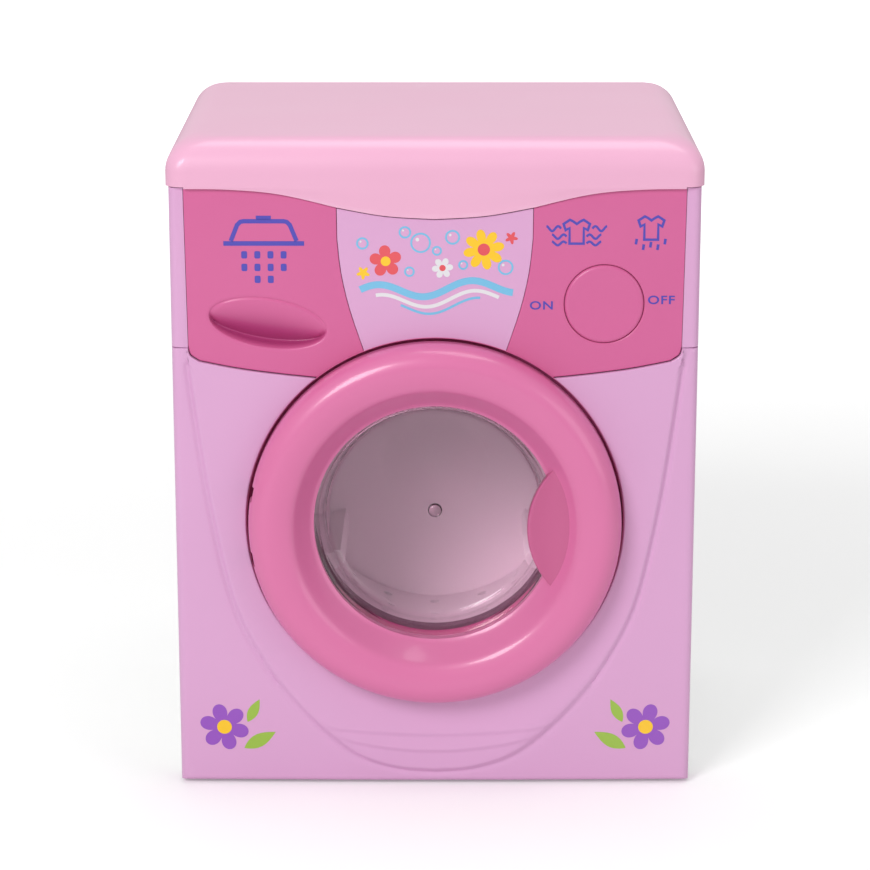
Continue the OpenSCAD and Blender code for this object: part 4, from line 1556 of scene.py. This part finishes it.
class Prints:
    """The coloured prints on the face: pictograms, words and loose flowers and bubbles."""

    lift: float = 0.05
    film: float = 0.00004

    def __init__(self) -> None:
        """Starts one mesh for each ink and body."""
        self.sheets: dict[tuple[str, str], tuple[Finish, bmesh.types.BMesh]] = {}
        self.relief = Relief()

    def add(self, ink: Finish, rings: Sequence[Sequence[Point]], closed: bool, body: str = "root",
            level: float = 0.0) -> None:
        """Adds a flat shape drawn by rings of X and Z.

        Args:
            ink: The ink.
            rings: Rings of the same count.
            closed: Whether rings join up.
            body: The body.
            level: Extra height over other inks.
        """
        bm = loft([[(x, 0.0, z) for x, z in ring] for ring in rings], closed=closed)
        for v in bm.verts:
            ground = self.relief.at(v.co.x, v.co.z) if v.co.z < 60 else FACE.front
            v.co.y = ground - self.lift - level
        bm.normal_update()
        bmesh.ops.reverse_faces(bm, faces=[f for f in bm.faces if f.normal.y > 0])
        mesh = mesh_from("ink", bm)
        key = (ink.name, body)
        if key not in self.sheets:
            self.sheets[key] = (ink, bmesh.new())
        self.sheets[key][1].from_mesh(mesh)
        bpy.data.meshes.remove(mesh)

    def stroke(self, ink: Finish, points: Sequence[Point], width: float, closed: bool = False,
               body: str = "root") -> None:
        """Draws a line of even width.

        Args:
            ink: The ink.
            points: The line.
            width: Its width.
            closed: Whether it joins up.
            body: The body.
        """
        out = outward(points, closed)
        rings = [[(p[0] + n[0] * s * width / 2, p[1] + n[1] * s * width / 2) for p, n in zip(points, out)]
                 for s in (-1, 1)]
        self.add(ink, rings, closed, body)

    def disc(self, ink: Finish, centre: Point, radius: float, level: float = 0.0) -> None:
        """Draws a filled circle.

        Args:
            ink: The ink.
            centre: The middle.
            radius: Its radius.
            level: Extra height.
        """
        ring = arc(centre, radius, 0, 360, 36)[:-1]
        self.add(ink, [[centre] * len(ring), ring], True, level=level)

    def blob(self, ink: Finish, centre: Point, shape: Callable[[float], float], count: int = 120,
             body: str = "root") -> None:
        """Draws a filled shape whose radius changes with the angle.

        Args:
            ink: The ink.
            centre: The middle.
            shape: Radius for an angle in radians.
            count: Points on its edge.
            body: The body.
        """
        ring = [(centre[0] + shape(a) * math.cos(a), centre[1] + shape(a) * math.sin(a))
                for a in (math.tau * i / count for i in range(count))]
        self.add(ink, [[centre] * count, ring], True, body)

    def flower(self, petals: Finish, heart: Finish, centre: Point, radius: float, count: int,
               turn: float) -> None:
        """Draws a plain flower of round petals.

        Args:
            petals: Ink of the petals.
            heart: Ink of its middle.
            centre: The middle.
            radius: Its radius.
            count: Number of petals.
            turn: Turn in radians.
        """
        def edge(a: float) -> float:
            """Gives the radius at an angle, far out on a petal and near between two."""
            return radius * (0.42 + 0.58 * abs(math.cos(count / 2 * (a - turn))) ** 0.55)
        self.blob(petals, centre, edge, 30 * count)
        self.disc(heart, centre, radius * 0.3, 0.02)

    def star(self, ink: Finish, centre: Point, core: float, turn: float) -> None:
        """Draws a little star with five round points."""
        self.blob(ink, centre, lambda a: core + 1.1 * abs(math.cos(2.5 * a + turn)) ** 2.0)

    def leaf(self, centre: Point, length: float, turn: float) -> None:
        """Draws a pointed leaf.

        Args:
            centre: Its middle.
            length: Its length.
            turn: The direction it points in, in radians.
        """
        c, s = math.cos(turn), math.sin(turn)
        sides: list[list[Point]] = []
        for sign in (-1, 1):
            row: list[Point] = []
            for t in (i / 20 for i in range(21)):
                u = (t - 0.5) * length
                w = sign * 0.2 * length * math.sin(math.pi * t) ** 0.9 * (1.15 - 0.4 * t)
                row.append((centre[0] + u * c - w * s, centre[1] + u * s + w * c))
            sides.append(row)
        self.add(LEAF_INK, sides, False)

    def drawer_sign(self) -> None:
        """Draws the shower rose over the drawer's grip."""
        cx, base, top, step = -54.7, 184.6, 191.8, 4.2
        half = [(-10.5, base + 0.8), (-8.4, top - 1.2), (-7.4, top - 0.2), (-6.4, top)]
        rose = [(cx + x, z) for x, z in half + mirrored(half)]
        for line, width in (([(cx - 12.9, base), (cx + 12.9, base)], 1.5), (rose, 1.4),
                            ([(cx - 2.4, top + 1.2), (cx + 2.4, top + 1.2)], 1.2)):
            self.stroke(BLUE_INK, line, width, body="drawer")

        def drop(a: float) -> float:
            """Gives the radius of a drop, a soft-cornered square, at an angle."""
            return (abs(math.cos(a) / 0.95) ** 5 + abs(math.sin(a) / 1.2) ** 5) ** -0.2
        for z, columns in ((180.9, 4), (176.8, 4), (172.9, 2)):
            for i in range(columns):
                self.blob(BLUE_INK, (cx + (i - (columns - 1) / 2) * step, z), drop, 48, "drawer")

    def shirt(self, cx: float, cz: float, size: float) -> None:
        """Draws the outline of a plain shirt.

        Args:
            cx: Its middle across.
            cz: Its middle up.
            size: Its size.
        """
        half = [(0.14, 0.40), (0.26, 0.46), (0.5, 0.30), (0.42, 0.06), (0.27, 0.14), (0.27, -0.46)]
        right = [(cx + x * size, cz + z * size) for x, z in half]
        outline = [(cx, cz + 0.3 * size)] + right + [(2 * cx - x, z) for x, z in reversed(right)]
        self.stroke(BLUE_INK, outline[::-1], 0.8, closed=True)

    def panel_signs(self) -> None:
        """Draws the two shirts over the button, one in water and one dripping."""
        cx, cz = 45.2, 188.0
        self.shirt(cx, cz + 0.4, 8.4)
        for s in (-1, 1):
            for start, z, size in ((5.0, 1.4, 0.8), (3.2, -1.2, 0.7), (3.2, -3.4, 0.6)):
                wave = [(cx + s * (start + 0.12 * i), cz + z + size * math.sin(i * 0.2)) for i in range(40)]
                self.stroke(BLUE_INK, wave[::s], 0.75)
        cx, cz = 69.0, 188.6
        self.shirt(cx, cz + 1.0, 8.2)
        for x, z in ((-4.6, -3.4), (-2.3, -5.2), (0.0, -4.4), (2.3, -5.2), (4.6, -3.4)):
            self.stroke(BLUE_INK, [(cx + x, cz + z + 0.9), (cx + x - 0.25, cz + z - 0.9)], 0.85)

    def word(self, text: str, centre: Point, height: float) -> bpy.types.Object:
        """Prints a short word beside the button.

        Args:
            text: The word.
            centre: Its middle.
            height: Height of its letters.

        Returns:
            The piece.
        """
        curve = bpy.data.curves.new("word", "FONT")
        curve.body, curve.size, curve.extrude, curve.offset = text, height * 1.42, 0.02, 0.06
        curve.align_x, curve.align_y, curve.space_character = "CENTER", "CENTER", 1.12
        carrier = put("word", curve)
        mesh = baked(carrier)
        bpy.data.objects.remove(carrier)
        bm = bmesh.new()
        bm.from_mesh(mesh)
        bpy.data.meshes.remove(mesh)
        bmesh.ops.remove_doubles(bm, verts=bm.verts, dist=0.001)
        upright = Matrix.Rotation(math.pi / 2, 4, "X") @ spot((0, 0, 0), (1.22, 1, 1))
        bmesh.ops.transform(bm, verts=bm.verts, matrix=Matrix.Translation(
            (centre[0], FACE.front - self.lift, centre[1])) @ upright)
        return piece("word_" + text.lower(), bm, BLUE_INK, "root", sharp=30)

    def face_print(self) -> None:
        """Draws the loose print on the wedge: a wave of water, bubbles, flowers and stars."""
        wave = [(-24 + 0.5 * i, 168.6 + 2.3 * math.sin(i * 0.105 + 0.4) + 0.022 * i) for i in range(99)]
        self.stroke(SKY_INK, wave, 2.3)
        self.stroke(PALE_INK, [(x + 1.0, z - 3.3) for x, z in wave[8:88]], 1.2)
        self.stroke(SKY_INK, [(x + 2.0, z - 5.6) for x, z in wave[22:74]], 0.8)
        self.flower(YELLOW_INK, CORAL_INK, (15.6, 182.6), 6.6, 8, 0.2)
        self.flower(CORAL_INK, YELLOW_INK, (-15.8, 178.8), 5.2, 5, 0.4)
        self.flower(PALE_INK, CORAL_INK, (2.4, 176.6), 3.4, 6, 0.1)
        for x, z, r in ((-4.6, 184.8, 3.0), (5.6, 186.6, 2.1), (-9.6, 188.2, 1.7), (0.6, 182.2, 1.3),
                        (22.6, 176.8, 2.2), (-23.2, 184.6, 1.7), (9.0, 177.6, 1.3), (-8.2, 175.4, 1.4)):
            self.stroke(SKY_INK, arc((x, z), r, 360, 0, 36)[:-1], 0.6, closed=True)
            self.disc(PALE_INK, (x - r * 0.35, z + r * 0.35), r * 0.2)
        self.star(YELLOW_INK, (-23.0, 175.0), 1.1, 0.9)
        self.star(CORAL_INK, (24.4, 186.4), 1.0, 0.4)

    def corner_flowers(self) -> None:
        """Draws a flower and leaves in both lower corners."""
        for s in (-1, 1):
            for x, z, length, turn in ((58.4, 15.8, 12.0, 0.5), (60.4, 26.2, 9.0, 1.1)):
                self.leaf((s * x, z), length, turn if s < 0 else math.pi - turn)
            self.flower(VIOLET_INK, YELLOW_INK, (s * 70.2, 20.4), 8.2, 6, 0.25 * s)

    def build(self) -> list[bpy.types.Object]:
        """Draws all prints.

        Returns:
            The pieces, one for each ink on each body, and the words.
        """
        self.drawer_sign()
        self.panel_signs()
        self.face_print()
        self.corner_flowers()
        made = [self.word("ON", (34.2, 164.2), 2.7), self.word("OFF", (72.6, 166.0), 2.7)]
        for (name, body), (ink, bm) in self.sheets.items():
            obj = piece(f"print_{name}_{body}", bm, ink, body)
            obj.data.polygons.foreach_set("use_smooth", [False] * len(obj.data.polygons))
            film = obj.modifiers.new("film", "SOLIDIFY")
            film.thickness, film.offset = self.film, -1.0
            made.append(obj)
        return made


@dataclass
class Insides:
    """The pieces dressed straight from their moulded or turned parts."""

    jobs: tuple[tuple[str, Finish, float], ...] = (
        ("cabinet", WHITE, 0.7), ("base_plate", WHITE, 0.6), ("back_panel", WHITE, 0.35),
        ("back_emblem", PANEL, 0.3), ("back_screws", STEEL, 0.2), ("door_seat", PANEL, 0.25),
        ("hinge_bracket", PANEL, 0.3), ("latch_catch", WHITE, 0.3), ("tub_seal", RUBBER, 0.3),
        ("tub", WHITE, 0.4), ("drum", DRUM, 0.3), ("drum_shaft", STEEL, 0.3), ("shaft_bush", BRASS, 0.2),
        ("shaft_seal", RUBBER, 0.2), ("drum_gear", WHITE, 0.12), ("idler_gear", PANEL, 0.12),
        ("idler_axle", STEEL, 0.2), ("motor_pinion", BRASS, 0.1), ("motor_shaft", STEEL, 0.15),
        ("motor", STEEL, 0.4), ("gearbox_base", WHITE, 0.3), ("gearbox_cover", WHITE, 0.5),
        ("gearbox_screws", STEEL, 0.15), ("battery_box", WHITE, 0.3), ("batteries", CELL, 0.4),
        ("battery_contacts", STEEL, 0.1), ("battery_door", WHITE, 0.25),
        ("battery_door_screw", STEEL, 0.2), ("drain_pipe", WHITE, 0.2), ("drain_hose", HOSE, 0.5),
        ("hose_plug", DOOR, 0.5), ("hose_socket", PANEL, 0.4))
    cap_radius: float = 20.0
    cap_rise: float = 3.0
    cap_foot: float = 15.45
    cap_steps: int = 16

    def hub_cap(self) -> bpy.types.Object:
        """Builds the low dome that covers the shaft's end in the drum.

        Returns:
            The piece.
        """
        radius, foot, steps = self.cap_radius, self.cap_foot, self.cap_steps
        dome = [(radius * k / steps, foot - self.cap_rise * (0.5 + 0.5 * math.cos(math.pi * k / steps)))
                for k in range(steps + 1)]
        under = [(radius, foot + 0.4), (0.0, foot + 0.4)]
        return piece("drum_hub_cap", turned(dome + under, FACE.door, 72, closed=False), DRUM, "drum",
                     sharp=40)

    def build(self) -> list[bpy.types.Object]:
        """Builds the hub cap and dresses every job's node.

        Returns:
            The pieces.
        """
        return [self.hub_cap()] + [dressed(node, finish, width) for node, finish, width in self.jobs]


@dataclass
class Studio:
    """Floor, lamps and camera, in metres."""

    distance: float = 1.04
    elevation: float = 15.0
    aim: Point3 = (0.0, 0.0, 0.106)
    lens: float = 125.0
    sensor: float = 36.0
    clip: float = 0.05
    lit: Point3 = (0, 0, 0.1)
    lamps: tuple[tuple[str, Point3, Point, float], ...] = (
        ("key", (-0.7, -1.2, 1.0), (0.6, 0.6), 13.0), ("fill", (1.2, -1.0, 0.5), (0.9, 0.9), 3.2),
        ("top", (0.1, 0.1, 1.3), (0.9, 0.5), 4.5))

    def floor(self) -> None:
        """Lays a pale floor."""
        bm = bmesh.new()
        bmesh.ops.create_grid(bm, x_segments=8, y_segments=8, size=6)
        mesh = mesh_from("floor", bm)
        made, w, shader = new_material("pale_floor")
        place = w.place()
        cloth = w.noise(Vector=place, Scale=3.0, Detail=2.0)
        tone = w.node("Mix", {"A": (0.86, 0.86, 0.86, 1), "B": (0.9, 0.9, 0.9, 1), "Factor": cloth},
                      data_type="RGBA")
        far = w.node("VectorMath", {0: place}, operation="LENGTH").outputs["Value"]
        glow = w.math("ADD", w.math("MULTIPLY", w.ramp(far, 0.1, 1.6), 0.75), 0.22)
        seen = w.node("LightPath").outputs["Is Camera Ray"]
        w.fill(shader, {
            "Base Color": tone.outputs["Result"], "Roughness": 0.7, "Emission Color": (1, 1, 1, 1),
            "Emission Strength": w.math("MULTIPLY", seen, glow)})
        mesh.materials.append(made)
        put("floor", mesh)

    def lamp(self, name: str, place: Point3, size: Point, power: float) -> None:
        """Hangs a soft box that faces the machine.

        Args:
            name: Its name.
            place: Where it hangs.
            size: Its width and height.
            power: Its power in watts.
        """
        data = bpy.data.lights.new(name, "AREA")
        data.shape, data.size, data.size_y, data.energy = "RECTANGLE", size[0], size[1], power
        obj = put(name, data)
        obj.location = place
        obj.rotation_euler = (Vector(self.lit) - Vector(place)).to_track_quat("-Z", "Y").to_euler()

    def sky(self) -> None:
        """Makes a sky that is white to the camera and through clear plastic, and softer elsewhere."""
        world = bpy.data.worlds.new("sky")
        bpy.context.scene.world = world
        world.use_nodes = True
        w = Weaver(world.node_tree)
        path = w.node("LightPath").outputs
        seen = w.math("MAXIMUM", path["Is Camera Ray"], w.math(
            "MAXIMUM", path["Is Transmission Ray"], w.math("MULTIPLY", path["Is Glossy Ray"], 0.6)))
        w.fill(world.node_tree.nodes["Background"], {
            "Color": (1, 1, 1, 1), "Strength": w.math("ADD", w.math("MULTIPLY", seen, 0.6), 0.4)})

    def camera(self) -> None:
        """Sets the camera in front of the machine and a little above."""
        data = bpy.data.cameras.new("camera")
        data.lens, data.sensor_width, data.clip_start = self.lens, self.sensor, self.clip
        tilt = math.radians(self.elevation)
        aim = Vector(self.aim)
        camera = put("camera", data)
        camera.location = aim + Vector((0, -math.cos(tilt), math.sin(tilt))) * self.distance
        camera.rotation_euler = (aim - camera.location).to_track_quat("-Z", "Y").to_euler()
        bpy.context.scene.camera = camera

    def build(self) -> None:
        """Sets floor, lamps, sky and camera."""
        self.floor()
        for lamp in self.lamps:
            self.lamp(*lamp)
        self.sky()
        self.camera()
        bpy.context.scene.view_settings.view_transform = "Standard"


def main() -> None:
    """Builds the whole washing machine and its stage."""
    logging.basicConfig(level=logging.INFO, format="%(message)s")
    for part in (Studio, Lid, Fascia, FrontShell, WaterDrawer, ControlPanel, Door, Insides, Prints):
        part().build()


if __name__ == "__main__":
    main()
